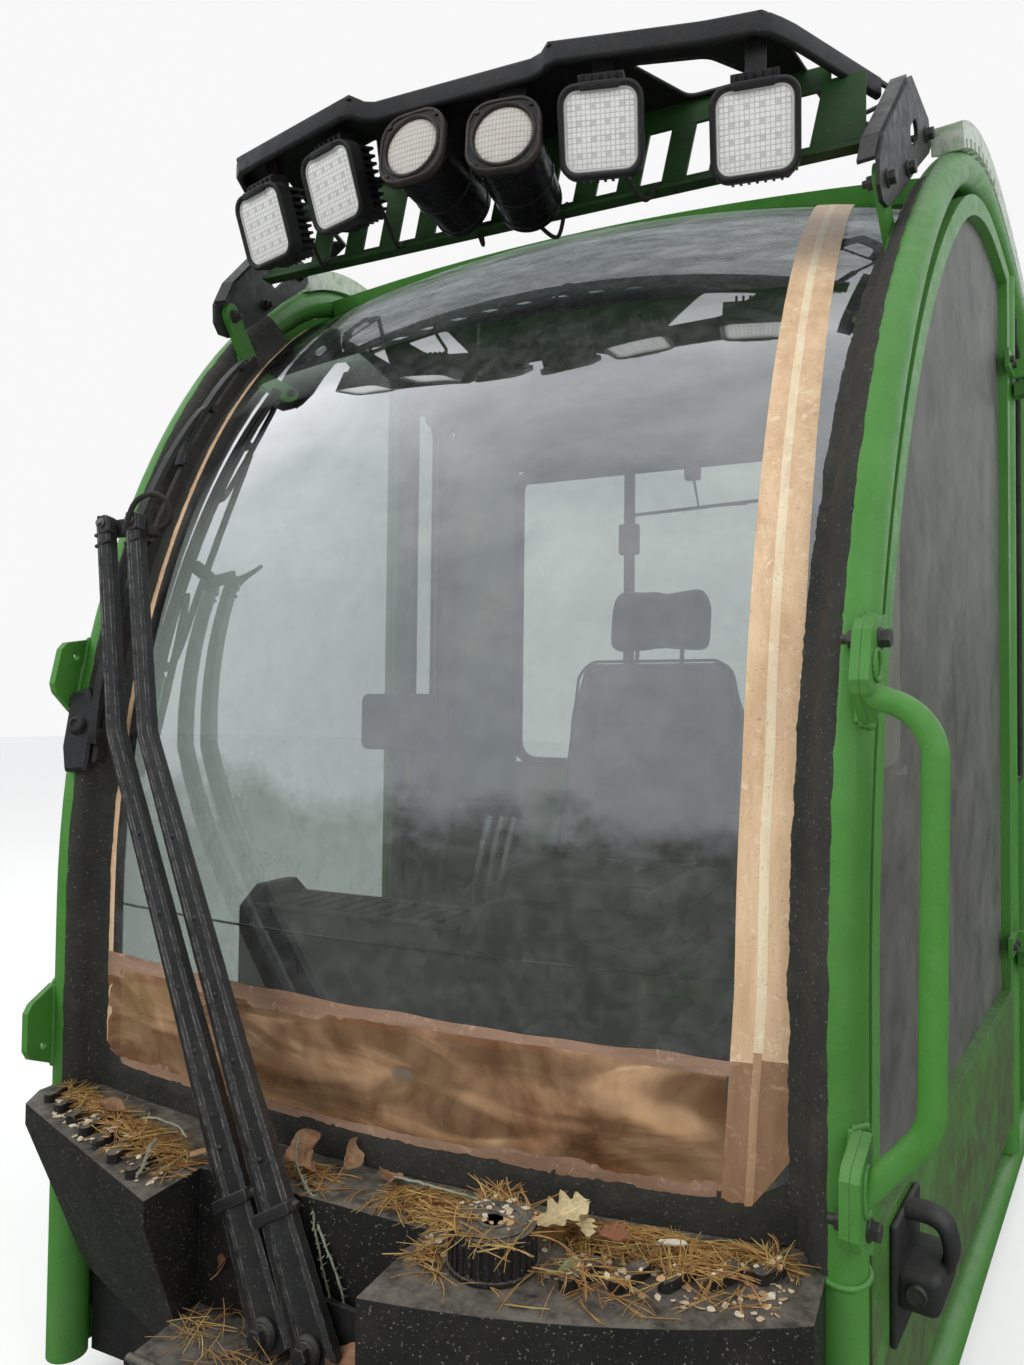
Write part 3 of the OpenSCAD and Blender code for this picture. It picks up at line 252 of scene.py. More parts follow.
latch_plastic = weathered("latch_plastic", (0.020, 0.020, 0.021), (0.028, 0.028, 0.028),
                          (0.05, 0.045, 0.04), (0.15, 0.14, 0.12), 0.48, dust_share=0.25, dirt_share=0.2,
                          grain=1500, grain_depth=0.35, speck=450)
trim_grey = weathered("trim_grey", (0.030, 0.030, 0.031), (0.045, 0.044, 0.043), (0.07, 0.065, 0.06),
                      (0.16, 0.155, 0.15), 0.55, dust_share=0.35, dirt_share=0.15, grain=1500,
                      grain_depth=0.5, speck=500)
print("shared recipe used for", len(bpy.data.materials), "materials so far")

# %% [markdown]
# Old paint on the roof rims has turned chalky and carries lichen, and the lower rail of the door
# is brown with splashed soil. Both are green paint with one more layer, so the layer is added to
# a copy of the recipe's result. The soil fades out with height, which a map range on Z gives.

# %% Lichen and soil on the green paint
def overlay(base, name, cover, share_of):
    tree = Nodes(base.copy(), fresh=False)
    tree.owner.name = name
    below = tree.coat.inputs["Base Color"].links[0].from_socket
    tree.set(Base_Color=tree.mix(share_of(tree), below, cover))
    return tree.owner


def lichen_share(tree):
    return tree.step(tree.speckle(34, 8, 0.75, 0.6), 0.38, 0.54, 0.42, 0.96)


def soil_share(tree):
    low = tree.step(tree.out("SeparateXYZ", {0: tree.where}, "Z"), 0.60, 0.34, 0.0, 1.0)
    return tree.calc("MULTIPLY", low, tree.step(tree.speckle(14, 9, 0.72, 0.5), 0.36, 0.58, 0.15, 0.9))


chalky_rim = overlay(green_paint, "chalky_rim", (0.60, 0.64, 0.56), lichen_share)
door_paint = overlay(green_paint, "door_paint", (0.075, 0.072, 0.040), soil_share)
print("made from the green paint:", chalky_rim.name, "and", door_paint.name)

# %% [markdown]
# Glass in a cab shows three things at once: what is behind it, a mirror image of the sky, and
# dust. A transparent shader lets lamps and sight through, and one Principled shader is mixed over
# it for the other two. Its share is the mirror's, which rises at a glancing view by Fresnel, plus
# the dust's. Where most of that share is mirror the shader is a pale metal, which mirrors well,
# and where most is dust it is a matt colour. A pane has two faces, and seen from inside the glass
# Fresnel turns the second one into a full mirror, so only the face towards the eye gets a share.

# %% Glass
def pane(name, tint, dust_colour, haze, mirror, dust_scale=30, low=0.42, high=0.75, clear_above=None):
    tree = new_finish(name)
    dust = tree.step(tree.speckle(dust_scale, 9, 0.72, 0.3), low, high, haze * 0.25, haze)
    veil = tree.calc("MAXIMUM", dust, tree.step(tree.speckle(420, 2, 0.5), 0.66, 0.74, 0, haze * 1.6))
    glance = tree.calc("MULTIPLY", tree.out("Fresnel", {"IOR": 1.5}), mirror)
    if clear_above:
        height = tree.out("SeparateXYZ", {0: tree.where}, "Z")
        veil = tree.calc("MULTIPLY", veil, tree.step(height, *clear_above, 1, 0.12))
        lines = tree.out("Mapping", {"Vector": tree.where, "Scale": (0.35, 1, 1)})
        smear = tree.step(tree.speckle(26, 7, 0.7, 0.6, lines), 0.34, 0.68, 0.09, 0.32)
        weak = tree.step(height, clear_above[0] - 0.03, clear_above[1] + 0.02)
        glance = tree.calc("MULTIPLY", glance, tree.out("Mix", {0: weak, 2: 1.0, 3: smear}))
    outer_face = tree.calc("SUBTRACT", 1.0, tree.out("NewGeometry", socket="Backfacing"))
    share = tree.calc("MULTIPLY", tree.calc("ADD", glance, veil), outer_face)
    mirror_part = tree.calc("DIVIDE", glance, share)
    tree.set(Base_Color=tree.mix(mirror_part, dust_colour, (0.95, 0.96, 0.97)), Metallic=mirror_part,
             Roughness=tree.step(mirror_part, 0.1, 0.9, 0.5, 0.02))
    clear = tree.out("BsdfTransparent", {"Color": tint})
    tree.surface(tree.out("MixShader", {0: share, 1: clear, 2: tree.coat.outputs[0]}))
    return tree.owner


screen_look = pane("screen_look", (0.86, 0.89, 0.88), (0.45, 0.47, 0.48), 0.09, 6.8,
                   clear_above=(1.62, 1.70))
door_look = pane("door_look", (0.40, 0.41, 0.36), (0.15, 0.145, 0.10), 0.55, 0.32, 9, 0.3, 0.7)
window_look = pane("window_look", (0.72, 0.76, 0.73), (0.30, 0.31, 0.27), 0.20, 1.4, 12, 0.35, 0.7)
print("panes:", [look.name for look in (screen_look, door_look, window_look)])

# %% [markdown]
# The solids get their finishes now. A solid whose shape is right only needs its material slot
# filled, so one table of names says which finish each carries.

# %% Finishes of the solids
node_finish = {
    green_paint: "front_pillars roof_tubes frame_posts rack_lugs handle_tabs grab_handle roof_shell "
                 "left_window_frame",
    dark_green_paint: "sill_panels quarter_panels rear_wall door_bar hinge_brackets",
    shaded_green_paint: "rack_lattice",
    door_paint: "door_frame",
    chalky_rim: "roof_rims",
    rack_paint: "base_frame floor_pan front_apron rack_ends rack_top lamp_brackets seat_base wiper_base",
    moulded_black: "washer_tank filler_cap door_latch blade_carrier",
    trim_grey: "front_console monitor armrests seat_cushion seat_back headrest",
    cast_black: "led_lamps wiper_arm_a wiper_arm_b",
    glossy_black: "barrel_lamps",
    rubber: "screen_seal door_seal wiper_blade",
    screen_look: "windscreen",
    door_look: "door_glass",
    window_look: "side_glass rear_window lamp_lenses",
}
for finish, names in node_finish.items():
    for name in names.split():
        slots = cab_nodes[name].data.materials
        slots.clear()
        slots.append(finish)
print("finished solids:", sum(len(names.split()) for names in node_finish.values()))

# %% [markdown]
# The pieces that follow are small meshes made from a few kinds of form: a round bar swept along a
# path, a turned form, a flat plate and a rounded block. Each helper returns a list of points and a
# list of faces. They can be moved, joined and turned into one object, which keeps the scene tidy.

# %% Helpers for forms
def moved(form, matrix):
    points, faces = form
    return [matrix @ Vector(p) for p in points], faces


def joined(forms):
    points, faces = [], []
    for form_points, form_faces in forms:
        start = len(points)
        points.extend(form_points)
        faces.extend([[start + i for i in face] for face in form_faces])
    return points, faces


def lofted(rings, caps=(True, True), closed=False):
    """A skin through rings that all have as many points; closed joins the last ring to the first."""
    count, rows = len(rings[0]), len(rings)
    points = [Vector(p) for ring in rings for p in ring]
    faces = []
    for i in range(rows if closed else rows - 1):
        low, high = i * count, (i + 1) % rows * count
        faces += [[low + k, low + (k + 1) % count, high + (k + 1) % count, high + k] for k in range(count)]
    if caps[0]:
        faces.append(list(range(count))[::-1])
    if caps[1]:
        faces.append([len(points) - count + k for k in range(count)])
    return points, faces


def circle(sides):
    return [(cos(2 * pi * k / sides), sin(2 * pi * k / sides)) for k in range(sides)]


def headings(path):
    """The direction of a path at each of its points."""
    last = len(path) - 1
    return [(path[min(i + 1, last)] - path[max(i - 1, 0)]).normalized() for i in range(last + 1)]


def swept(path, radius, sides=12, flat=1.0):
    path = [Vector(p) for p in path]
    radii = radius if isinstance(radius, (list, tuple)) else [radius] * len(path)
    rings = []
    across = headings(path)[0].orthogonal().normalized()
    for here, ahead, r in zip(path, headings(path), radii):
        across = (across - ahead * across.dot(ahead)).normalized()
        other = ahead.cross(across)
        rings.append([here + r * (across * c + other * s * flat) for c, s in circle(sides)])
    return lofted(rings)


def rounded_path(points, steps=6):
    """A smooth curve through the points."""
    points = [Vector(p) for p in points]
    made = []
    for i in range(len(points) - 1):
        a, b, c, d = points[max(i - 1, 0)], points[i], points[i + 1], points[min(i + 2, len(points) - 1)]
        for k in range(steps):
            t = k / steps
            made.append(0.5 * ((2 * b) + (c - a) * t + (2 * a - 5 * b + 4 * c - d) * t ** 2
                               + (3 * b - a - 3 * c + d) * t ** 3))
    made.append(points[-1])
    return made


def path_length(path):
    return sum((b - a).length for a, b in zip(path, path[1:]))


def flat_bar(path, side, wide, deep):
    """A bar of rectangular section, so wide along the side and so deep across it."""
    rings = []
    for here, ahead in zip(path, headings(path)):
        out = side.cross(ahead).normalized()
        rings.append([here + side * a * wide / 2 + out * b * deep / 2
                      for a, b in ((-1, -1), (1, -1), (1, 1), (-1, 1))])
    return lofted(rings)


def turned(profile, sides=32, closed=False):
    rings = [[(r * c, r * s, z) for c, s in circle(sides)] for r, z in profile]
    return lofted(rings, (not closed, not closed), closed)


def plate(outline, low, high):
    count = len(outline)
    points = [Vector((x, y, low)) for x, y in outline] + [Vector((x, y, high)) for x, y in outline]
    faces = [list(range(count))[::-1], list(range(count, 2 * count))]
    faces += [[k, (k + 1) % count, (k + 1) % count + count, k + count] for k in range(count)]
    return points, faces


def rounded_block(size, radius, steps=3):
    mesh = bmesh.new()
    bmesh.ops.create_cube(mesh, size=1)
    bmesh.ops.scale(mesh, vec=size, verts=mesh.verts)
    bmesh.ops.bevel(mesh, geom=mesh.edges[:] + mesh.verts[:], offset=radius, segments=steps, profile=0.5,
                    affect="EDGES")
    mesh.verts.index_update()
    form = [v.co.copy() for v in mesh.verts], [[v.index for v in f.verts] for f in mesh.faces]
    mesh.free()
    return form


def at(x, y, z, turn=(0, 0, 0)):
    """A place, turned about X, then Y, then Z by so many degrees."""
    turns = [Matrix.Rotation(radians(angle), 4, axis) for angle, axis in zip(turn, "XYZ")]
    return Matrix.Translation((x, y, z)) @ turns[2] @ turns[1] @ turns[0]


def block(size, radius, *place, steps=3):
    return moved(rounded_block(size, radius, steps), at(*place))


def round_outline(width, height, radius, steps=6):
    points = []
    for k, (side, level) in enumerate(((1, 1), (-1, 1), (-1, -1), (1, -1))):
        for i in range(steps + 1):
            angle = radians(90 * (k + i / steps))
            points.append((side * (width / 2 - radius) + radius * cos(angle),
                           level * (height / 2 - radius) + radius * sin(angle)))
    return points


def ring_at(outline, z):
    return [(x, y, z) for x, y in outline]


def stacked(layers, steps=6, caps=(True, True)):
    """A skin through rounded outlines, each given by its width, height, corner and level."""
    return lofted([ring_at(round_outline(w, h, r, steps), z) for w, h, r, z in layers], caps)


def hex_bolt(across, height, washer=1.35):
    """A hexagon head on a washer, standing on z = 0; millimetres."""
    hexagon = [(across / sqrt(3) * c, across / sqrt(3) * s) for c, s in circle(6)]
    rim = across / 2 * washer
    thick = height * 0.22
    disc = turned([(rim * 0.4, 0), (rim, 0), (rim, thick * 0.8), (rim * 0.95, thick), (rim * 0.4, thick)],
                  24)
    head = lofted([ring_at(hexagon, thick), ring_at(hexagon, thick + height * 0.72),
                   ring_at([(x * 0.9, y * 0.9) for x, y in hexagon], thick + height * 0.8)])
    return joined([disc, head])


def weld_bead(path, radius):
    """A bead with the ripples that a welder leaves, along a path."""
    fine = []
    for a, b in zip(path, path[1:]):
        steps = max(2, int((b - a).length / (radius * 0.45)))
        fine += [a.lerp(b, i / steps) for i in range(steps)]
    fine.append(path[-1])
    radii = [radius * (0.86 + 0.22 * abs(sin(i * 1.1)) + 0.12 * ripple(p * 0.3))
             for i, p in enumerate(fine)]
    return swept(fine, radii, 8)


MM = Matrix.Scale(0.001, 4)


def placed(form, frame_of_place):
    """A form in millimetres, put into a frame whose place is in metres."""
    return moved(form, frame_of_place @ MM)


def in_metres(forms):
    return moved(joined(forms), MM)


def facing(place, direction):
    """A frame at a place, with its Z axis along a direction."""
    return Matrix.Translation(place) @ Vector(direction).to_track_quat("Z", "Y").to_matrix().to_4x4()


triangles_added = {}


def make_piece(name, form, finish, body="cab", sharp=38, instead_of=()):
    mesh = bpy.data.meshes.new(name)
    mesh.from_pydata([tuple(p) for p in form[0]], [], form[1])
    mesh.validate()
    outward = bmesh.new()
    outward.from_mesh(mesh)
    if all(len(e.link_faces) == 2 for e in outward.edges):
        bmesh.ops.recalc_face_normals(outward, faces=outward.faces[:])
        outward.to_mesh(mesh)
    outward.free()
    made = bpy.data.objects.new(name, mesh)
    scene.collection.objects.link(made)
    mesh.polygons.foreach_set("use_smooth", [True] * len(mesh.polygons))
    mesh.set_sharp_from_angle(angle=radians(sharp))
    mesh.materials.append(finish)
    mesh.update()
    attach(made, body)
    if instead_of:
        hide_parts(*instead_of)
    triangles_added[name] = sum(len(p.vertices) - 2 for p in mesh.polygons)
    return made


# %% [markdown]
# Two surfaces are used again and again. Each side of the cab is a flat frame that opens by 9
# degrees towards the rear, so a point on it is given by how far it is outward, along and up. The
# windscreen is a curved skin, and a point on it is given by X and by the distance up its middle
# line from its lower edge. All these measures are in millimetres and come out in metres.

# %% Places on the side frames and on the windscreen
FLARE = radians(9)
PILLAR_HALF, PILLAR_Y = 566, -816
SCREEN_FOOT, ARC_Z = 480, 750
PLAN_R, ARC_OUT, SHOULDER_OUT = 2884.17, 1472, 782
ARC_ANGLE = radians(55)
ARC_Y, SHOULDER_Y, SHOULDER_Z = 624, 228.2, 1315.2


def side_point(out, along, up, side):
    x = PILLAR_HALF + out * cos(FLARE) + along * sin(FLARE)
    y = PILLAR_Y - out * sin(FLARE) + along * cos(FLARE)
    return Vector((side * x, y, up)) / 1000


def side_matrix(out, along, up, side=1):
    outward = Vector((side * cos(FLARE), -sin(FLARE), 0))
    back = Vector((side * sin(FLARE), cos(FLARE), 0))
    turn = Matrix((outward, back, Vector((0, 0, 1)))).transposed().to_4x4()
    return Matrix.Translation(side_point(out, along, up, side)) @ turn


PILLAR_ARC_R = 1440


def pillar_matrix(up, side=1):
    """Frame on a front pillar's axis at a height: X outward, Y back, Z up along the pillar."""
    lean = asin(max(0.0, up - ARC_Z) / PILLAR_ARC_R)
    along = PILLAR_ARC_R * (1 - cos(lean))
    return side_matrix(0, along, up, side) @ Matrix.Rotation(-lean, 4, "X")


def screen_point(x, run, proud=0.0):
    """A point on the glass, or so far proud of it: upright below, then on two arcs."""
    sag = PLAN_R - sqrt(PLAN_R ** 2 - x ** 2)
    upright = ARC_Z - SCREEN_FOOT
    angle = max(0, run - upright) / ARC_OUT
    if angle <= ARC_ANGLE:
        radius = ARC_OUT - sag + proud
        middle_y, middle_z = ARC_Y, min(ARC_Z, SCREEN_FOOT + run)
    else:
        angle = ARC_ANGLE + (run - upright - ARC_OUT * ARC_ANGLE) / SHOULDER_OUT
        radius = SHOULDER_OUT - sag + proud
        middle_y, middle_z = SHOULDER_Y, SHOULDER_Z
    return Vector((x, middle_y - radius * cos(angle), middle_z + radius * sin(angle))) / 1000


def screen_side(run):
    """Half width of the glass at a height on the screen."""
    y = screen_point(524, run).y * 1000
    return PILLAR_HALF + (y - PILLAR_Y) * tan(FLARE) - 42 / cos(FLARE)


def edge(side, inset):
    """The side of the glass, so many millimetres inside it, as a function of the height."""
    return lambda run: side * (screen_side(run) - inset)


def grid_faces(across, up):
    faces = []
    for j in range(up):
        for i in range(across):
            a = j * (across + 1) + i
            faces.append([a, a + 1, a + across + 2, a + across + 1])
    return faces


def screen_cloth(left, right, low, high, across, up, proud, wrinkle=None):
    """A skin on the screen between two sides and two heights, each a number or a function."""
    left, right, low, high = [v if callable(v) else (lambda _, v=v: v) for v in (left, right, low, high)]
    points = []
    for j in range(up + 1):
        v = j / up
        for i in range(across + 1):
            u = i / across
            middle = low(0) * (1 - v) + high(0) * v
            x_mid = left(middle) * (1 - u) + right(middle) * u
            run = low(x_mid) * (1 - v) + high(x_mid) * v
            x = left(run) * (1 - u) + right(run) * u
            points.append(screen_point(x, run, proud + (wrinkle(x, run, u, v) if wrinkle else 0)))
    return points, grid_faces(across, up)


print("the glass is", round(2 * screen_side(0)), "mm wide at its foot")

# %% [markdown]
# The light is a plain studio: a pale floor, a pale sky all round and three large soft lamps. The
# backdrop is near white. Mirrors and glass show a plain overcast sky with a few grey patches, and a
# dark ground under it, because a pale ground in the lower half of the screen would hide the seat.
# The lamps themselves don't show in mirrors: a bright square in the glass would look like a window.

# %% Studio
def build_sky():
    scene.world = bpy.data.worlds.new("studio_sky")
    sky = Nodes(scene.world, "OutputWorld")
    direction = sky.out("TexCoord", socket="Generated")
    height = sky.out("SeparateXYZ", {0: direction}, "Z")
    grey = sky.mix(sky.step(height, -0.1, 0.9), (0.62, 0.63, 0.64), (0.86, 0.88, 0.90))
    cloud = sky.mix(sky.step(height, 0.0, 0.8), (0.60, 0.62, 0.64), (0.95, 0.96, 0.98))
    patches = sky.step(sky.speckle(2.6, 6, 0.6, 0.4, direction), 0.35, 0.65)
    cloud = sky.mix(patches, cloud, (0.58, 0.61, 0.65))
    uneven = sky.step(sky.speckle(5, 7, 0.7, 0, direction), 0.3, 0.7, -0.10, 0.10)
    horizon = sky.step(sky.calc("ADD", height, uneven), 0.02, 0.16)
    cloud = sky.mix(horizon, (0.10, 0.105, 0.09), cloud)
    light, mirrored, pale = [sky.out("Background", {"Color": colour, "Strength": strength})
                             for colour, strength in ((grey, 0.66), (cloud, 1.0),
                                                      ((0.94, 0.94, 0.94), 1.0))]
    rays = sky.add("LightPath").outputs
    through = sky.calc("MAXIMUM", rays["Is Camera Ray"], rays["Is Transmission Ray"])
    shown = sky.out("MixShader", {0: rays["Is Glossy Ray"], 1: light, 2: mirrored})
    sky.surface(sky.out("MixShader", {0: through, 1: shown, 2: pale}))


def soft_lamp(name, place, target, size, power):
    data = bpy.data.lights.new(name, "AREA")
    data.shape, data.size, data.energy = "SQUARE", size, power
    lamp = bpy.data.objects.new(name, data)
    scene.collection.objects.link(lamp)
    lamp.location = place
    lamp.rotation_euler = (Vector(target) - Vector(place)).to_track_quat("-Z", "Y").to_euler()
    lamp.visible_glossy = False


def build_floor():
    mesh = bpy.data.meshes.new("studio_floor")
    mesh.from_pydata([(-30, -30, 0), (30, -30, 0), (30, 30, 0), (-30, 30, 0)], [], [[0, 1, 2, 3]])
    floor = bpy.data.objects.new("studio_floor", mesh)
    scene.collection.objects.link(floor)
    tree = new_finish("pale_floor")
    rays = tree.add("LightPath").outputs
    seen = tree.calc("MAXIMUM", rays["Is Camera Ray"], rays["Is Transmission Ray"])
    tree.set(Base_Color=tree.mix(tree.speckle(3, 5, 0.6), (0.74, 0.74, 0.73), (0.80, 0.80, 0.79)),
             Roughness=0.8, Emission_Color=(1, 1, 1), Emission_Strength=tree.calc("MULTIPLY", seen, 0.42))
    mesh.materials.append(tree.owner)
    floor.visible_glossy = False


build_sky()
build_floor()
soft_lamp("soft_left", (-3.4, -4.6, 4.6), (0, -0.6, 1.1), 3.6, 190)
soft_lamp("soft_right", (4.6, -2.6, 3.2), (0.4, -0.2, 1.1), 3.0, 95)
soft_lamp("soft_back", (1.5, 5.0, 4.0), (0, 0.4, 1.2), 3.2, 110)
scene.view_settings.view_transform = "Standard"

# %% [markdown]
# The screen has been stuck down with brown parcel tape: a double strip with a pale middle line on
# the right, a narrow one on the left and one across near the foot. Tape has a thickness of its
# own and never lies quite flat, so each strip is a skin that stands half a millimetre proud with
# small wrinkles. Its finish has fine cross lines and paler creases.

# %% Tape finish
def tape_finish(name, colour, pale, dark, stretch=(1, 1, 0.12)):
    tree = new_finish(name)
    streak = tree.speckle(30, 6, 0.7, 0, tree.out("Mapping", {"Vector": tree.where, "Scale": stretch}))
    tone = tree.mix(tree.step(streak, 0.36, 0.62), dark, colour)
    tone = tree.mix(tree.step(tree.speckle(60, 7, 0.75, 0.8), 0.55, 0.68), tone, pale)
    tone = tree.mix(tree.step(tree.speckle(300, 3, 0.6), 0.62, 0.72, 0, 0.5), tone, (0.10, 0.065, 0.04))
    tree.set(Base_Color=tone, Roughness=tree.step(streak, 0.3, 0.7, 0.28, 0.5))
    tree.bump(streak, 0.35, 0.001)
    return tree.owner


tan_tape = tape_finish("tan_tape", (0.84, 0.60, 0.375), (0.92, 0.74, 0.52), (0.66, 0.43, 0.25))
cream_tape = tape_finish("cream_tape", (0.93, 0.79, 0.55), (0.95, 0.85, 0.66), (0.80, 0.62, 0.40))
foot_tape = tape_finish("foot_tape", (0.40, 0.235, 0.135), (0.50, 0.32, 0.20), (0.30, 0.165, 0.085))
foot_tape_pale = tape_finish("foot_tape_pale", (0.58, 0.37, 0.22), (0.66, 0.45, 0.29), (0.44, 0.26, 0.14))
cross_tape = tape_finish("cross_tape", (0.40, 0.25, 0.17), (0.54, 0.37, 0.27), (0.26, 0.155, 0.10),
                         (0.12, 1, 1))


# %% Tape on the screen
def tape_wrinkle(x, run, u, v):
    return 0.5 * ripple((x * 0.02, run * 0.012, 3)) + 0.35 * ripple((x * 0.1, run * 0.05, 7))


def tape_outer(run):
    return min(521, screen_side(run) - 8) - 6 * max(0, 1 - run / 300)


def tape_inner(run):
    return tape_outer(run) - 63 - 10 * max(0, 1 - run / 260)


def tape_top(x):
    return 1800 - 0.1 * abs(x)


def tape_foot(x):
    corner = max(0, (x - 462) * 1.35)
    return 14 + corner + 1.2 * ripple((x * 0.05, 0, 1))


def tape_middle(shift):
    return lambda run: tape_inner(run) + 29 + 1.2 * ripple((run * 0.01, 4, 0)) + shift


def tape(left, right, low, high, across, up, proud):
    return screen_cloth(left, right, low, high, across, up, proud, tape_wrinkle)


FOOT_RUN = 190
strips = [tape(tape_inner, tape_middle(1), FOOT_RUN - 6, tape_top, 8, 220, 0.7),
          tape(tape_middle(-1), tape_outer, FOOT_RUN - 2, tape_top, 8, 220, 0.8)]
make_piece("tape_right", joined(strips), tan_tape)
make_piece("tape_middle_line", tape(tape_middle(-5), tape_middle(6), 196, tape_top, 8, 220, 1.0),
           cream_tape)
foot = [tape(tape_inner, tape_middle(1), tape_foot, FOOT_RUN, 8, 40, 0.6),
        tape(tape_middle(-1), tape_outer, tape_foot, FOOT_RUN + 3, 8, 40, 0.7)]
make_piece("tape_right_foot", joined(foot), foot_tape)
make_piece("tape_middle_foot", tape(tape_middle(-4), tape_middle(5), tape_foot, 198, 3, 60, 0.9),
           foot_tape_pale)
make_piece("tape_left", tape(edge(-1, 4), edge(-1, 26), 40, 1640, 3, 180, 0.6), tan_tape)
make_piece("tape_cross", tape(edge(-1, 8), 452, lambda x: 164 + 0.008 * x + 3 * ripple((x * 0.01, 0, 0)),
                              lambda x: 190 - 0.012 * x + 4 * ripple((x * 0.012, 5, 0)), 120, 4, 0.9),
                              cross_tape)
make_piece("tape_low_edge", tape(edge(-1, 10), 436, lambda x: 30 + 4 * ripple((x * 0.01, 2, 0)),
                                 lambda x: 49 + 5 * ripple((x * 0.02, 9, 0)), 120, 3, 0.8), cross_tape)
print("tape pieces:", [n for n in triangles_added if n.startswith("tape")])

# %% [markdown]
# Under the cross strip a clear amber film covers the foot of the screen. It is loose between its
# taped edges and lies in long shallow folds, which is why it throws bright curved streaks. The
# folds are real shape here, made of a few slanting waves. The film is partly see-through, and bands
# of a noise stretched along the folds turn it into a shiny amber coat: painted sheen for the streaks.

# %% Amber film
def film_finish():
    tree = new_finish("amber_film")
    drift = tree.speckle(5, 4, 0.6, 1.2)
    tone = tree.mix(tree.step(drift, 0.35, 0.65), (0.40, 0.215, 0.11), (0.80, 0.50, 0.28))
    tree.set(Base_Color=tone, Metallic=0.30, Roughness=0.16, Specular_IOR_Level=1.0)
    folds = tree.out("Mapping", {"Vector": tree.where, "Rotation": (0, 0.5, 0), "Scale": (1, 1, 3.2)})
    fold_bump_and_sheen = tree.speckle(4.5, 2, 0.4, 1.6, folds)
    # Painted sheen: bands of the fold noise add up to half of the opaque shiny coat, standing for the folds'
    # bright streaks; the same noise also bumps the film.
    share = tree.calc("ADD", tree.step(drift, 0.3, 0.7, 0.30, 0.52), tree.step(fold_bump_and_sheen, 0.50, 0.66, 0.0, 0.5))
    tree.bump(fold_bump_and_sheen, 0.8, 0.012)
    clear = tree.out("BsdfTransparent", {"Color": (0.60, 0.34, 0.18)})
    tree.surface(tree.out("MixShader", {0: share, 1: clear, 2: tree.coat.outputs[0]}))
    return tree.owner


def film_fold(x, run, u, v):
    loose = sin(pi * min(1, max(0, v))) ** 0.6 * min(1, 8 * u, 8 * (1 - u))
    slant = sin((x * 0.011 + run * 0.035) + 1.4 * ripple((x * 0.004, run * 0.01, 2)))
    small = ripple((x * 0.012, run * 0.03, 11))
    return loose * (2.6 + 2.2 * slant + 2.0 * small)


film = screen_cloth(edge(-1, 12), 446, 40, 176, 200, 36, 0.5, film_fold)
make_piece("amber_film_sheet", film, film_finish(), sharp=80)
print("film triangles:", triangles_added["amber_film_sheet"])

# %% [markdown]
# The top of the screen and its two edges are blacked out from the inside. That band is a thin dark
# skin just behind the glass, so that the glass in front of it still mirrors the sky.

# %% Black band behind the glass
BEHIND = -14
band = [screen_cloth(edge(-1, 1), edge(1, 1), lambda x: 1312 + 0.00012 * x * x, 1852, 60, 40, BEHIND),
        screen_cloth(edge(-1, 1), edge(-1, 30), 2, 1330, 3, 90, BEHIND),
        screen_cloth(edge(1, 30), edge(1, 1), 2, 1330, 3, 90, BEHIND)]
make_piece("black_band", joined(band), glossy_black)
print("band triangles:", triangles_added["black_band"])

# %% [markdown]
# The lamps are what the eye meets first. A square lamp has a moulded rim and a clear lens with a
# fine grid, behind which sixteen small lights show as soft spots, and a barrel lamp has a round
# ribbed lens in a square face with four screws. The lenses are thin pale forms with their own
# left-right and up-down measure (a UV map), so the grid lines lie straight on every lamp.

# %% Lens finishes
def grid_lines(tree, along, count, width):
    """Share of a fine line, count lines from -1 to 1."""
    cell = tree.calc("PINGPONG", tree.calc("MULTIPLY", along, count / 2, False), 1.0, False)
    return tree.step(cell, width, width * 0.4)


def lens_finish(name, pale, line, lines_across, lines_up, spots):
    tree = new_finish(name)
    own = tree.out("TexCoord", socket="UV")
    across, upward = tree.add("SeparateXYZ", {0: own}).outputs[:2]
    mesh_share = tree.calc("MAXIMUM", grid_lines(tree, across, lines_across, 0.30),
                           grid_lines(tree, upward, lines_up, 0.30))
    uneven = tree.step(tree.speckle(2.6, 5, 0.7, 0, own), 0.3, 0.7, 0.35, 0.95)
    tone = tree.mix(tree.calc("MULTIPLY", mesh_share, uneven), pale, line)
    if spots:
        cell_x, cell_y = [tree.calc("PINGPONG", axis, 0.40, False) for axis in (across, upward)]
        near = tree.out("CombineXYZ", {0: cell_x, 1: cell_y, 2: 0.0})
        away = tree.out("VectorMath", {0: near, 1: (0.2, 0.2, 0.0)}, "Value", operation="DISTANCE")
        tone = tree.mix(tree.step(away, 0.11, 0.03, 0, 0.42), tone, (0.22, 0.22, 0.215))
    grime = tree.step(tree.speckle(3.5, 7, 0.75, 0.5, own), 0.56, 0.74, 0, 0.55)
    tone = tree.mix(grime, tone, (0.34, 0.29, 0.22))
    tree.set(Base_Color=tone, Roughness=0.30, Coat_Weight=0.7, Coat_Roughness=0.06)
    tree.bump(mesh_share, 0.6, 0.0008)
    return tree.owner


grid_lens = lens_finish("grid_lens", (0.84, 0.84, 0.81), (0.42, 0.42, 0.41), 30, 30, True)
ribbed_lens = lens_finish("ribbed_lens", (0.58, 0.545, 0.50), (0.30, 0.27, 0.24), 34, 22, False)
bright_rim = weathered("bright_rim", (0.60, 0.60, 0.57), (0.48, 0.47, 0.44), (0.30, 0.27, 0.22),
                       (0.40, 0.37, 0.32), 0.26, grain=300, dust_share=0.2, dirt_share=0.3)
brown_face = weathered("brown_face", (0.020, 0.017, 0.015), (0.034, 0.028, 0.023), (0.10, 0.075, 0.055),
                       (0.16, 0.14, 0.12), 0.42, dust_share=0.3, dirt_share=0.4, wear=(0.15, 0.12, 0.10))


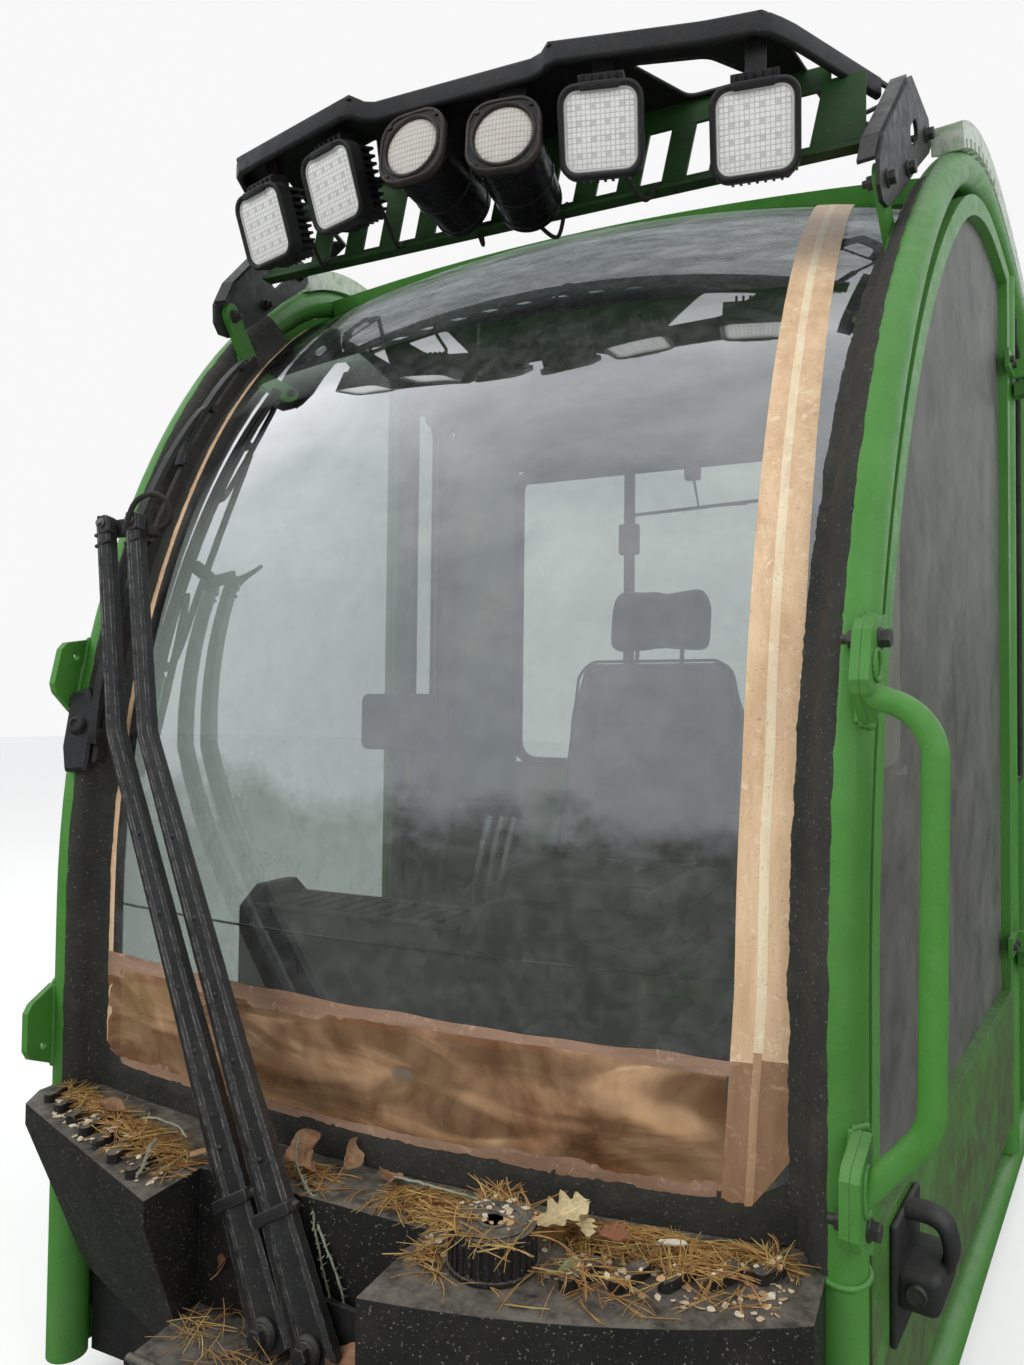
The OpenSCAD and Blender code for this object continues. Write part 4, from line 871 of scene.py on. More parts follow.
# %% Lamp lenses, rims and screws
SQUARE_W, LENS_W, BARREL_W, BARREL_LENS = 126, 108, 118, 94
LAMP_DIP, LAMP_RISE = 20, 6
# Each lamp: X, Y, Z of its face, turn outward
square_lamps = [(-447, -545, 1921, 14), (-278, -575, 1939, 15), (203, -575, 1918, -14),
                (421, -530, 1888, -8)]
barrel_lamps = [(-99, -620, 1944, 2), (62, -620, 1923, -9)]


def lamp_matrix(lamp, pitch):
    """Frame of a lamp: X across its face, Y up it and Z out of it."""
    x, y, z, turn = lamp
    return at(x / 1000, y / 1000, z / 1000, (pitch + 90, 0, -turn))


def lens_map(made, frames, half):
    """Gives each lens its own measure from -1 to 1 across and up."""
    layer = made.data.uv_layers.new(name="lens").data
    back = [frame.inverted() for frame in frames]
    for loop in made.data.loops:
        point = made.data.vertices[loop.vertex_index].co
        local = min((b @ point for b in back), key=lambda q: q.length) * 1000
        layer[loop.index].uv = (local.x / half, local.y / half)


def domed_lens(width, radius, rise, steps):
    """A lens with a turned-down edge and a shallow dome, standing on z = 0."""
    layers = [(width, width, radius, 0.0)]
    steps_in = [(0.0, 1.2), (1.2, 2.6), (4.0, 3.4), (14, 4.0 + rise * 0.35), (30, 4.0 + rise * 0.8)]
    for inset, height in steps_in:
        layers.append((width - 2 * inset, width - 2 * inset, max(radius - inset, 4), height))
    return stacked(layers, steps)


square_frames = [lamp_matrix(lamp, LAMP_DIP) for lamp in square_lamps]
barrel_frames = [lamp_matrix(lamp, -LAMP_RISE) for lamp in barrel_lamps]
lens = joined([placed(domed_lens(LENS_W, 19, 1.2, 6), f) for f in square_frames])
square_lens = make_piece("square_lamp_lenses", lens, grid_lens, instead_of=["lamp_lenses"])
lens_map(square_lens, square_frames, LENS_W / 2)
dome = moved(domed_lens(BARREL_LENS, BARREL_LENS / 2, 3, 12), at(0, 0, -5))
lens = joined([placed(dome, f) for f in barrel_frames])
barrel_lens = make_piece("barrel_lamp_lenses", lens, ribbed_lens)
lens_map(barrel_lens, barrel_frames, BARREL_LENS / 2)


def square_hoop(width, radius, section, steps):
    """A bar round a rounded square; the section gives how far outward and how high each point is."""
    layers = [(width + 2 * out, width + 2 * out, radius + out, height) for out, height in section]
    return stacked(layers, steps, (False, False))


def square_rim():
    """The moulded rim round a square lens, with a thicker bar at its top."""
    section = [(-1.0, 3.0), (0.6, 4.0), (0.9, 6.0), (-0.4, 8.2), (-3.0, 9.4), (-5.6, 9.0), (-7.4, 7.4),
               (-8.0, 4.6), (-8.0, 3.6)]
    return joined([square_hoop(SQUARE_W, 26, section, 8),
                   block((58, 12, 5), 2.0, 0, SQUARE_W / 2 - 5, 8.6, steps=2)])


inner_ring = square_hoop(LENS_W, 19, [(1.4, 2.0), (1.0, 4.6), (-0.4, 5.2), (-2.2, 4.4), (-2.8, 3.0)], 6)
make_piece("square_lamp_rims", joined([placed(square_rim(), f) for f in square_frames]), cast_black,
           sharp=60)
make_piece("square_lamp_inner_rings", joined([placed(inner_ring, f) for f in square_frames]), bright_rim,
           sharp=70)


def barrel_face():
    """The raised lip round a barrel lamp's lens, over its square face, and its four screws."""
    lip_section = [(5.5, 0), (5.0, 2.2), (3.4, 3.2), (1.4, 2.8), (0.6, 0.6), (0.6, -5)]
    lip = turned([(BARREL_LENS / 2 + out, z) for out, z in lip_section], 48, True)
    rim = square_hoop(BARREL_W, 40,
                      [(0.6, -9), (0.8, -1.5), (-0.4, 1.6), (-2.4, 2.4), (-4.6, 1.8), (-5.2, 0.2)], 8)
    screw = turned([(0.4, 0.4), (3.6, 0.4), (4.2, 1.4), (3.4, 2.8), (1.4, 2.8), (1.2, 1.6), (0.3, 1.6)], 14)
    return joined([lip, rim] + [moved(screw, at(x * 43, y * 43, 0)) for x in (-1, 1) for y in (-1, 1)])


def barrel_bands():
    """A shallow joint band and a rolled end on the barrel."""
    bands = []
    for start, wide, radius in ((96, 9, BARREL_W * 0.463), (158, 12, BARREL_W * 0.446)):
        bands.append(turned([(radius - 2, -start), (radius + 1.3, -start - 1),
                             (radius + 1.6, -start - wide / 2),
                             (radius + 1.2, -start - wide + 1), (radius - 2, -start - wide)], 48, True))
    return joined(bands)


make_piece("barrel_lamp_faces", joined([placed(barrel_face(), f) for f in barrel_frames]), brown_face,
           sharp=50)
make_piece("barrel_lamp_bands", joined([placed(barrel_bands(), f) for f in barrel_frames]), glossy_black,
           sharp=50)
print("lamps dressed:", len(square_frames), "square and", len(barrel_frames), "barrel")

# %% [markdown]
# Rough black sealant fills the corner between the glass and each front pillar. It lies on the
# edge of the glass, climbs over the rubber strip and covers the inner front quarter of the tube.
# A row of points across it is repeated up the pillar, with a little noise for the trowel marks.

# %% Sealant along the pillars and under the screen
sealant = weathered("sealant", (0.030, 0.030, 0.026), (0.048, 0.047, 0.040), (0.085, 0.075, 0.055),
                    (0.23, 0.21, 0.18), 0.72, dust_share=0.2, dirt_share=0.5, grain=330, grain_depth=1.0,
                    sheen=0.35)
SEAL_TURNS = [radians(a) for a in (198, 212, 227, 242, 256, 268)]


def pillar_skin(run, turn, radius, side):
    """A point on a pillar, run millimetres above the foot of the screen, turned from the outside."""
    up = SCREEN_FOOT + run
    if up >= ARC_Z:
        up = ARC_Z + PILLAR_ARC_R * sin((up - ARC_Z) / ARC_OUT)
    return pillar_matrix(up, side) @ (Vector((radius * cos(turn), radius * sin(turn), 0)) / 1000)


def sealant_strip(side, run_low, run_high, rows):
    points = []
    for j in range(rows + 1):
        run = run_low + (run_high - run_low) * j / rows
        wobble = 1.6 * ripple((run * 0.02, side * 4, 0)) + 0.8 * ripple((run * 0.11, side * 9, 2))
        glass = screen_side(run)
        points += [screen_point(side * (glass - 15 - 2 * wobble), run, 0.2),
                   screen_point(side * (glass - 13 - 2 * wobble), run, 1.9 + 0.4 * wobble),
                   screen_point(side * (glass - 3), run, 2.6 + 0.7 * wobble)]
        for k, turn in enumerate(SEAL_TURNS):
            lump = 0.7 * ripple((run * 0.05, k * 1.7, side * 3))
            radius = 29.2 if k == len(SEAL_TURNS) - 1 else 31.6 + lump + 0.4 * wobble
            points.append(pillar_skin(run, turn + 0.03 * wobble, radius, side))
    return points, grid_faces(2 + len(SEAL_TURNS), rows)


for side, name in ((1, "sealant_right"), (-1, "sealant_left")):
    make_piece(name, sealant_strip(side, -8, 1560, 300), sealant, sharp=80)


def sill_lump(x, run, u, v):
    return 1.2 * ripple((x * 0.03, run * 0.08, 4)) + 0.6 * ripple((x * 0.13, run * 0.1, 8)) - 2.2 * v ** 4


def sill_top(x):
    return 34 + 3 * ripple((x * 0.02, 3, 0)) + max(0, (abs(x) - 470) * 0.6)


sill = screen_cloth(edge(-1, 4), edge(1, 4), -8, sill_top, 180, 8, 2.4, sill_lump)
make_piece("sealant_sill", sill, sealant, sharp=80)
print("each sealant strip turns over", len(SEAL_TURNS), "steps of the pillar")

# %% [markdown]
# Under the screen the black moulded tank has caught what falls from the trees: pine needles,
# leaves and pale chips. They are hundreds of small things, so each kind is one mesh. Every needle
# is a thin bent bar with three sides, dropped at a place drawn from a list of drifts, and each
# gets its own tone from the Random Per Island value. The random draws start from a fixed seed.

# %% Needle, leaf and chip finishes
def litter_finish(name, tones, roughness, vein=False):
    tree = new_finish(name)
    own = tree.out("NewGeometry", socket="Random Per Island")
    tone = tones[0]
    for k, colour in enumerate(tones[1:], 1):
        tone = tree.mix(tree.step(own, (k - 0.6) / len(tones), (k + 0.4) / len(tones)), tone, colour)
    blot = tree.step(tree.speckle(160, 5, 0.7, 0.4), 0.42, 0.66, 0, 0.55)
    tone = tree.mix(blot, tone, [c * 0.42 for c in tones[0]])
    if vein:
        along, across = tree.add("SeparateXYZ", {0: tree.out("TexCoord", socket="UV")}).outputs[:2]
        off_mid = tree.calc("ABSOLUTE", across, clamp=False)
        ribs = tree.calc("PINGPONG", tree.calc("SUBTRACT", along, off_mid, False), 0.085, False)
        lines = tree.calc("MAXIMUM", tree.step(ribs, 0.012, 0.003, 0, 0.8), tree.step(off_mid, 0.03, 0.012))
        tone = tree.mix(tree.calc("MULTIPLY", lines, 0.55), tone, [min(1, c * 1.5) for c in tones[-1]])
    tree.set(Base_Color=tone, Roughness=roughness)
    tree.bump(tree.speckle(240, 4, 0.7), 0.5, 0.001)
    return tree.owner


needle_tan = litter_finish("needle_tan", [(0.40, 0.20, 0.07), (0.58, 0.36, 0.13), (0.30, 0.13, 0.045),
                                          (0.62, 0.47, 0.16)],
                           0.48)
leaf_brown = litter_finish("leaf_brown", [(0.34, 0.19, 0.10), (0.46, 0.30, 0.17), (0.30, 0.13, 0.07)], 0.6,
                           vein=True)
leaf_pale = litter_finish("leaf_pale", [(0.62, 0.55, 0.30), (0.66, 0.52, 0.30)], 0.6, vein=True)
leaf_green = litter_finish("leaf_green", [(0.30, 0.42, 0.20), (0.36, 0.46, 0.24)], 0.5, vein=True)
chip_pale = litter_finish("chip_pale", [(0.72, 0.62, 0.42), (0.80, 0.74, 0.60), (0.62, 0.36, 0.16)], 0.7)
lichen = litter_finish("lichen", [(0.34, 0.38, 0.27), (0.46, 0.50, 0.38), (0.26, 0.24, 0.17)], 0.85)


# %% Heights of the ledge
TANK_TOP, RIB_TOP, RECESS_FLOOR = 470, 482, 304
tank_ribs = [(-540, -868, 34, 18), (-497, -884, 40, 18), (-452, -900, 46, 18), (-405, -918, 50, 18),
             (-358, -936, 54, 18), (-310, -954, 58, 18), (-258, -972, 62, 18), (330, -960, 44, -20),
             (376, -942, 40, -22), (420, -922, 36, -24), (464, -898, 32, -28), (504, -872, 26, -32)]
CAP_AT, CAP_R = (235, -971), 49.5


def tank_front(x):
    """Y of the tank's front edge at X, or of the back of its recess."""
    if x < -560:
        return -862 + (x + 585) * -1.72
    if x < -190:
        return -905 - (x + 560) * 0.361
    if x < 140:
        return -946
    return 45.7 - sqrt(1145 ** 2 - (x + 40) ** 2)


def glass_foot(x):
    return -864 + PLAN_R - sqrt(PLAN_R ** 2 - x ** 2)


def ledge_height(x, y):
    if (x - CAP_AT[0]) ** 2 + (y - CAP_AT[1]) ** 2 < CAP_R ** 2:
        return TANK_TOP + 44
    for rib_x, rib_y, length, turn in tank_ribs:
        turn = radians(turn)
        dx, dy = x - rib_x, y - rib_y
        side, along = dx * cos(turn) + dy * sin(turn), dy * cos(turn) - dx * sin(turn)
        if abs(side) < 8 and abs(along) < length / 2 + 6:
            return RIB_TOP
    return TANK_TOP


print("the ledge is", round(glass_foot(300) - tank_front(300)), "mm deep at X 300")

# %% Pine needles
draw = random.Random(11)
# Each drift: middle x, y, spread along and across, turn of the drift, how many, height of the heap
needle_drifts = [
    (-300, -925, 150, 34, 18, 260, 16), (-470, -868, 90, 24, 18, 110, 9), (-60, -900, 60, 26, 0, 60, 8),
    (110, -905, 60, 40, -8, 150, 16), (190, -905, 60, 34, 0, 170, 18), (300, -885, 70, 24, 4, 200, 14),
    (400, -862, 70, 22, 10, 210, 12), (490, -843, 48, 16, 14, 120, 9), (420, -900, 90, 30, 12, 110, 7),
    (180, -990, 34, 26, 0, 80, 6), (250, -1015, 60, 16, 0, 26, 2), (350, -970, 80, 24, 0, 46, 3)]


def needle(place, heading, tilt, length, bend, thickness):
    """A three-sided bar that bends sideways along its length."""
    across = Vector((-sin(heading), cos(heading), 0))
    ahead = Vector((cos(heading), sin(heading), tan(tilt)))
    points = []
    for i in range(6):
        t = i / 5 - 0.5
        points.append(Vector(place) + ahead * (t * length) + across * (bend * (t * t - 0.25) * length)
                      + Vector((0, 0, -0.10 * length * (t * t) * abs(bend) * 4)))
    radii = [thickness * share / 1000 for share in (0.6, 1, 1, 1, 1, 0.6)]
    return swept([p / 1000 for p in points], radii, 3)


def kept_on_ledge(x, y, z, length, heading, tilt):
    """Lifts a needle until both its ends are over the ledge's top or clear of it."""
    low = 0
    for t in (-0.5, -0.25, 0, 0.25, 0.5):
        px, py = x + cos(heading) * length * t, y + sin(heading) * length * t
        pz = z + tan(tilt) * length * t
        if tank_front(px) < py < glass_foot(px):
            low = max(low, ledge_height(px, py) + 0.6 - pz)
    return z + low


needles = []
for mid_x, mid_y, wide, deep, turn, count, heap in needle_drifts:
    for _ in range(count):
        u, v = draw.gauss(0, 0.5), draw.gauss(0, 0.5)
        x = mid_x + u * wide * cos(radians(turn)) - v * deep * sin(radians(turn))
        y = mid_y + u * wide * sin(radians(-turn)) + v * deep
        heading, length = draw.uniform(0, pi), draw.uniform(34, 62)
        tilt = draw.gauss(0, 0.09)
        bend = draw.gauss(0, 0.22)
        lift = draw.uniform(0.6, heap) * exp(-u * u - v * v)
        y = min(y, glass_foot(x) - 4)
        if x < -560 or x > 545 or not tank_front(x) + 8 < y or (-196 < x < 140 and y < -946):
            continue
        if abs(cos(heading)) * length / 2 + x > 556 or y + abs(sin(heading)) * length / 2 > glass_foot(x) - 3:
            heading, tilt = radians(draw.uniform(-24, 24)), abs(tilt) * 0.3
        z = kept_on_ledge(x, y, TANK_TOP + lift, length, heading, tilt)
        needles.append(needle((x, y, z), heading, tilt, length, bend, draw.uniform(0.5, 0.75)))
        if draw.random() < 0.6:
            needles.append(needle((x + 1.5, y - 1, z + 0.4), heading + draw.uniform(-0.35, 0.35), tilt,
                                  length, bend, 0.6))
for _ in range(120):
    x, y = draw.uniform(-170, 110), draw.uniform(-1040, -955)
    needles.append(needle((x, y, RECESS_FLOOR + draw.uniform(1, 14)), draw.uniform(0, pi),
                          draw.gauss(0, 0.25),
                          draw.uniform(34, 60), draw.gauss(0, 0.2), 0.65))
make_piece("pine_needles", joined(needles), needle_tan, sharp=80)
print("needles:", len(needles), "triangles:", triangles_added["pine_needles"])

# %% [markdown]
# A leaf is a curled sheet. Its outline comes from a formula: a long oval whose edge swings in and
# out for an oak leaf and stays smooth for an aspen leaf. A grid over that oval is then bent by a
# noise and by a curl along its middle rib, and laid where the leaf rests.

# %% Leaves, chips and twigs
def leaf(length, width, lobes, curl, seed):
    """A curled leaf with its stalk end at the origin, along X; millimetres."""
    across, along = 10, 26
    points, marks = [], []
    for i in range(along + 1):
        t = i / along
        half = width / 2 * sin(pi * min(1, t * 0.96 + 0.02)) ** 0.75 * (0.75 + 0.5 * t * (1.2 - t))
        if lobes:
            half *= 0.80 + 0.26 * sin(2 * pi * lobes * t - 0.6)
        for k in range(across + 1):
            v = 2 * k / across - 1
            x = length * t + (0.10 * length * (abs(v) - 0.3) if lobes else 0)
            y = v * half
            waves = 5 * ripple((x * 0.045, y * 0.07, seed)) + 1.6 * ripple((x * 0.16, y * 0.16, seed + 3))
            rise = curl * (v * v) * half * 0.9 + waves + 0.10 * length * (2 * t - 1) ** 2 * abs(curl)
            points.append(Vector((x, y, rise)))
            marks.append((t, v * 0.4))
    stalk = swept([(-14, 3, 4), (-6, 1, 1), (3, 0, 0.6), (length * 0.6, 0, 0.8)], [0.9, 0.9, 0.9, 0.3], 5)
    return joined([(points, grid_faces(across, along)), stalk]), marks


# Each leaf: finish, X, Y, Z, length, width, lobes, curl, turn about X, Y and Z
leaves = [
    (leaf_brown, -2, -968, 336, 78, 58, 0, 0.35, (38, 12, 70)),
    (leaf_brown, -150, -950, 352, 74, 40, 5, 1.1, (20, -52, 62)),
    (leaf_brown, -96, -884, 478, 44, 34, 0, 0.8, (35, -30, 40)),
    (leaf_brown, -14, -888, 480, 48, 36, 0, 0.7, (62, -20, 100)),
    (leaf_pale, 262, -926, 492, 66, 44, 4, 0.5, (24, -10, 48)),
    (leaf_green, 303, -966, 473, 42, 38, 0, 0.22, (4, -6, 20)),
    (leaf_brown, 330, -905, 489, 58, 34, 4, 0.7, (14, -18, -38)),
    (leaf_brown, 60, -900, 480, 46, 34, 0, 0.6, (20, 10, 120)),
    (leaf_pale, 300, -880, 492, 40, 28, 4, 0.6, (-12, 8, -60)),
    (leaf_brown, -40, -905, 477, 52, 36, 4, 0.9, (-20, -12, 170)),
    (leaf_brown, 96, -1008, 330, 64, 46, 0, 0.7, (-14, 10, 150)),
    (leaf_brown, -420, -900, 488, 40, 30, 0, 0.6, (10, 20, 30))]
by_finish = {}
for n, (finish, x, y, z, length, width, lobes, curl, turn) in enumerate(leaves):
    form, marks = leaf(length, width, lobes, curl, n * 5.3)
    lowest = min((at(0, 0, 0, turn) @ Vector(p)).z for p in form[0])
    by_finish.setdefault(finish, []).append((moved(form, MM @ at(x, y, z - lowest * 0.35, turn)), marks))
for finish, forms in by_finish.items():
    made = make_piece("leaves_" + finish.name[5:], joined([form for form, _ in forms]), finish, sharp=80)
    uv = made.data.uv_layers.new(name="leaf").data
    marks = [m for form, mark in forms for m in mark + [(0.1, 0.0)] * (len(form[0]) - len(mark))]
    for loop in made.data.loops:
        uv[loop.index].uv = marks[loop.vertex_index]

chips = []
for _ in range(420):
    if draw.random() < 0.7:
        x = draw.uniform(150, 530)
        y = draw.uniform(max(tank_front(x) + 10, glass_foot(x) - 130), glass_foot(x) - 8)
    else:
        x = draw.uniform(-500, -215)
        y = draw.uniform(tank_front(x) + 10, tank_front(x) + 75)
    size = draw.uniform(2.2, 7.5)
    outline = [(size * draw.uniform(0.5, 1) * cos(a), size * draw.uniform(0.35, 0.8) * sin(a))
               for a in (0, 1.1, 2.2, 3.3, 4.3, 5.3)]
    lie = at(x, y, ledge_height(x, y) + 0.8, (draw.gauss(0, 9), draw.gauss(0, 9), draw.uniform(0, 360)))
    chips.append(moved(plate(outline, 0, 0.8), MM @ lie))
bark = plate([(-17, -4), (-12, 3), (2, 5), (15, 3), (18, -2), (4, -5)], 0, 2)
chips.append(moved(bark, MM @ at(400, -872, 481, (6, -4, 12))))
chips.append(moved(bark, MM @ at(-205, -930, 480, (14, 6, 70))))
make_piece("wood_chips", joined(chips), chip_pale, sharp=30)

twig_paths = [[(-70, -906, 520), (-66, -915, 492), (-44, -928, 478), (-22, -940, 470), (-10, -949, 440),
               (4, -951, 395), (24, -953, 345)],
              [(-44, -928, 478), (0, -948, 432), (28, -951, 385), (44, -953, 340)],
              [(60, -885, 486), (120, -896, 492), (180, -892, 488), (240, -884, 484)],
              [(-262, -948, 492), (-248, -972, 494), (-240, -990, 484), (-236, -1008, 474)],
              [(-330, -905, 490), (-300, -912, 500), (-262, -908, 494), (-236, -918, 486)]]
twigs = []
for k, path in enumerate(twig_paths):
    fine = []
    for a, b in zip(path, path[1:]):
        for i in range(8):
            spot = Vector(a).lerp(Vector(b), i / 8)
            shake = [1.6 * ripple(spot * 0.09 + Vector((axis * 9.0, 0, k))) for axis in range(3)]
            fine.append(spot + Vector(shake))
    thick = [(2.1 if k == 3 else 1.4) * (1 + 0.5 * ripple(p * 0.2)) / 1000 for p in fine]
    twigs.append(swept([p / 1000 for p in fine], thick, 7))
    if k in (0, 1, 3):
        for p in fine[2:-1]:
            for _ in range(3 if k == 3 else 2):
                way = Vector([draw.uniform(-1, 1) for _ in range(3)]).normalized()
                hair = [p / 1000, (p + way * draw.uniform(2, 5)) / 1000,
                        (p + way * 5 + Vector((1, 1, 1))) / 1000]
                twigs.append(swept(hair, [0.0008, 0.0006, 0.0002], 4))
make_piece("lichen_twigs", joined(twigs), lichen, sharp=80)
print("leaves:", len(leaves), "chips:", len(chips), "twigs:", len(twig_paths))

# %% [markdown]
# The wiper's arms stand in a recess of the tank. Its floor is a moulded tray with a rolled front
# lip, and it carries the litter that has slid down there.

# %% Recess tray
tray_path = [(-188, -946), (-188, -1060), (-180, -1068), (130, -1083), (138, -1075), (138, -946)]
tray = joined([plate(tray_path, 296, 304),
               swept([(-182, -1064, 306), (-60, -1070, 306), (60, -1076, 306), (132, -1079, 306)], 7, 12)])
make_piece("recess_tray", placed(tray, Matrix.Identity(4)), moulded_black, sharp=40)
print("tray triangles:", triangles_added["recess_tray"])

# %% [markdown]
# Each wiper arm is a channel folded from sheet: wide and deep at the foot, narrow above, with one
# bright ridge along its face where the paint has worn. A solid with flat faces can't catch light
# like that, so each arm is a skin through rings, and the ridge is part of every ring. The ring is
# drawn once and moved along two straight stretches, and it turns step by step round the bend.

# %% Wiper arms
ARM_GAP, ARM_WIDTH = 65, 22
ARM_STOPS = [Vector((0, 0)), Vector((-411.0, 692.2)), Vector((-508.4, 1023.2))]
LOWER_ARM, UPPER_ARM = ARM_STOPS[1] - ARM_STOPS[0], ARM_STOPS[2] - ARM_STOPS[1]
wiper_matrix = at(-0.045, -0.985, 0.330, (-9, 0, -3))


def arm_middle(distance):
    """Point and direction on an arm's middle line, with the bend rounded over 60 mm."""
    first = LOWER_ARM.length
    ways = [LOWER_ARM.normalized(), UPPER_ARM.normalized()]
    place = ways[0] * distance if distance < first else LOWER_ARM + ways[1] * (distance - first)
    turn = min(1, max(0, (distance - first + 30) / 60))
    return place, ways[0].lerp(ways[1], turn).normalized()


def arm_ring(distance, width, depth, back):
    place, way = arm_middle(distance)
    across = Vector((way.y, -way.x))
    ring = []
    for side, out in ((-0.5, back), (-0.5, -depth * 0.45), (-0.42, -depth * 0.8), (-0.24, -depth * 0.92),
                      (-0.16, -depth - 2.2), (-0.10, -depth - 2.2), (0.0, -depth * 0.95),
                      (0.40, -depth * 0.78),
                      (0.5, -depth * 0.4), (0.5, back)):
        spot = place + across * width * side
        ring.append((spot.x, out, spot.y))
    return ring


def arm_form(shift):
    bend = LOWER_ARM.length
    length = bend + UPPER_ARM.length
    stops = [-26, -22, -10, 60, 150, 152, 153, 300, 420, bend - 30, bend - 15, bend, bend + 15, bend + 30,
             length - 120, length - 8, length + 9, length + 13]
    rings = []
    for d in stops:
        width = 58 - 26 * min(1, max(0, d / 470)) ** 0.8
        if d > 430:
            width = ARM_WIDTH + 4
        width *= 0.72 if d in (-26, length + 13) else 1
        depth = 11 if d > 153 else 9
        rings.append(arm_ring(d, width, depth, 9))
    return moved(lofted(rings), at(shift, 0, 0))


def arm_fittings(shift):
    """The clip across the foot, its pin, the pivot nut, the rivets and the two tip plates."""
    place, way = arm_middle(146)
    lean = degrees(atan2(-way.x, way.y))
    forms = [block((56, 22, 15), 2.5, place.x, -2, place.y, (0, -lean, 0))]
    pin = turned([(0, 0), (6, 0), (6, 5), (4.5, 6.5), (0, 6.5)], 20)
    for side in (-28, 28):
        forms.append(moved(pin, at(place.x + side * way.y, 0, place.y - side * way.x,
                                   (0, copysign(90, side), 0))))
    forms.append(moved(turned([(0, 0), (19, 0), (19, 4), (15, 7), (0, 7)], 32), at(0, -9, 0, (90, 0, 0))))
    forms.append(moved(hex_bolt(19, 13), at(0, -15, 0, (90, 0, 0))))
    rivet = turned([(0, 0), (4, 0), (3.6, 1.4), (2.2, 2.6), (0, 3)], 14)
    for d in (210, 330, 415, 520, 640):
        spot = arm_middle(d)[0]
        forms.append(moved(rivet, at(spot.x + 5, -9, spot.y, (90, 0, 0))))
    tip = ARM_STOPS[2]
    for up in (-16, -34):
        forms.append(block((29, 21, 5), 1.5, tip.x - up * 0.28, -1, tip.y + up, (0, -16, 0)))
    return moved(joined(forms), at(shift, 0, 0))


def tip_pin(shift):
    tip = ARM_STOPS[2]
    head = [(0, 0), (8.5, 0), (8.5, 2), (5.4, 2.2), (5.4, 5), (4.2, 6.6), (0, 7)]
    return moved(turned(head, 24), at(tip.x + shift, -10, tip.y, (90, 0, 0)))


arm_paint = weathered("arm_paint", (0.012, 0.012, 0.012), (0.020, 0.020, 0.020), (0.05, 0.045, 0.038),
                      (0.20, 0.19, 0.17), 0.33, dust_share=0.35, dirt_share=0.45, grain=950,
                      grain_depth=0.35, wear=(0.26, 0.255, 0.24), edge=0.002, speck=420, wear_share=0.95)
for body, shift in (("arm_a", 0), ("arm_b", ARM_GAP)):
    make_piece(f"{body}_channel", placed(arm_form(shift), wiper_matrix), arm_paint, body,
               sharp=24, instead_of=[f"wiper_{body}"])
    make_piece(f"{body}_fittings", placed(arm_fittings(shift), wiper_matrix), rack_paint, body, sharp=35)
    make_piece(f"{body}_tip_pin", placed(tip_pin(shift), wiper_matrix), zinc, body)
print("arm triangles:", triangles_added["arm_a_channel"] + triangles_added["arm_a_fittings"])

# %% [markdown]
# The blade hangs from the two tips. A long bow presses it down through two short rockers, and the
# washer hose loops from the arms into the carrier. All of it moves with the blade. The bow follows
# the screen's curve, so its path is given by an angle about the centre of that curve.

# %% Blade bow, rockers and washer hose
BLADE_X = -520.3


def blade_point(angle, radius):
    a = radians(angle)
    return Vector((BLADE_X, ARC_Y - radius * cos(a), ARC_Z + radius * sin(a)))


def bow(low, high, foot_radius, rise, width, thick):
    shares = [i / 24 for i in range(25)]
    path = [blade_point(low + (high - low) * t, foot_radius + rise * sin(pi * t) ** 0.6) for t in shares]
    return flat_bar(path, Vector((1, 0, 0)), thick, width)


blade_forms = [bow(16, 34, 1487, 16, 9, 13), bow(9.6, 21, 1477, 11, 7, 15), bow(29, 40, 1477, 11, 7, 15)]
for angle in (10.2, 15.5, 20.4, 29.6, 34.5, 39.4):
    blade_forms.append(block((16, 12, 16), 2, *blade_point(angle, 1475), (-angle, 0, 0)))
rocker_pin = turned([(0, -9), (4, -9), (4, 9), (0, 9)], 16)
for angle in (16.4, 33.6):
    blade_forms.append(moved(rocker_pin, at(*blade_point(angle, 1490), (0, 90, 0))))
make_piece("blade_bow_and_rockers", in_metres(blade_forms), rack_paint, "blade")

tip = ARM_STOPS[2]
hose_path = rounded_path([(tip.x + x, y, tip.y + z) for x, y, z in (
    (62, -12, -20), (68, -14, 4), (76, -15, 22), (92, -14, 34), (112, -8, 38), (127, 2, 28), (130, 10, 12),
    (122, 15, 0), (108, 17, -7), (97, 18, -10))])
hose = swept(hose_path, 4.2, 14)
nozzle = block((26, 14, 16), 2.5, tip.x + 92, 17, tip.y - 12)
make_piece("washer_hose_loop", placed(joined([hose, nozzle]), wiper_matrix), rubber, "blade")
print("hose length in mm:", round(path_length(hose_path)))

# %% [markdown]
# The grab handle and its tabs are welded and bolted: a bead runs where each tab meets the pillar,
# a ring of weld joins the bar to its plates, and one bolt with a nut goes through each pair. These
# small things tell the eye how big the cab is. Each is placed in the frame of the pillar at its
# height, so it leans with the pillar.

# %% Welds, bolts and nuts of the handle
TAB_HOLE, TAB_IN, PLATE_OUT = 42, 20, 40.3
GRAB_TOP, GRAB_LOW = 1122, 538


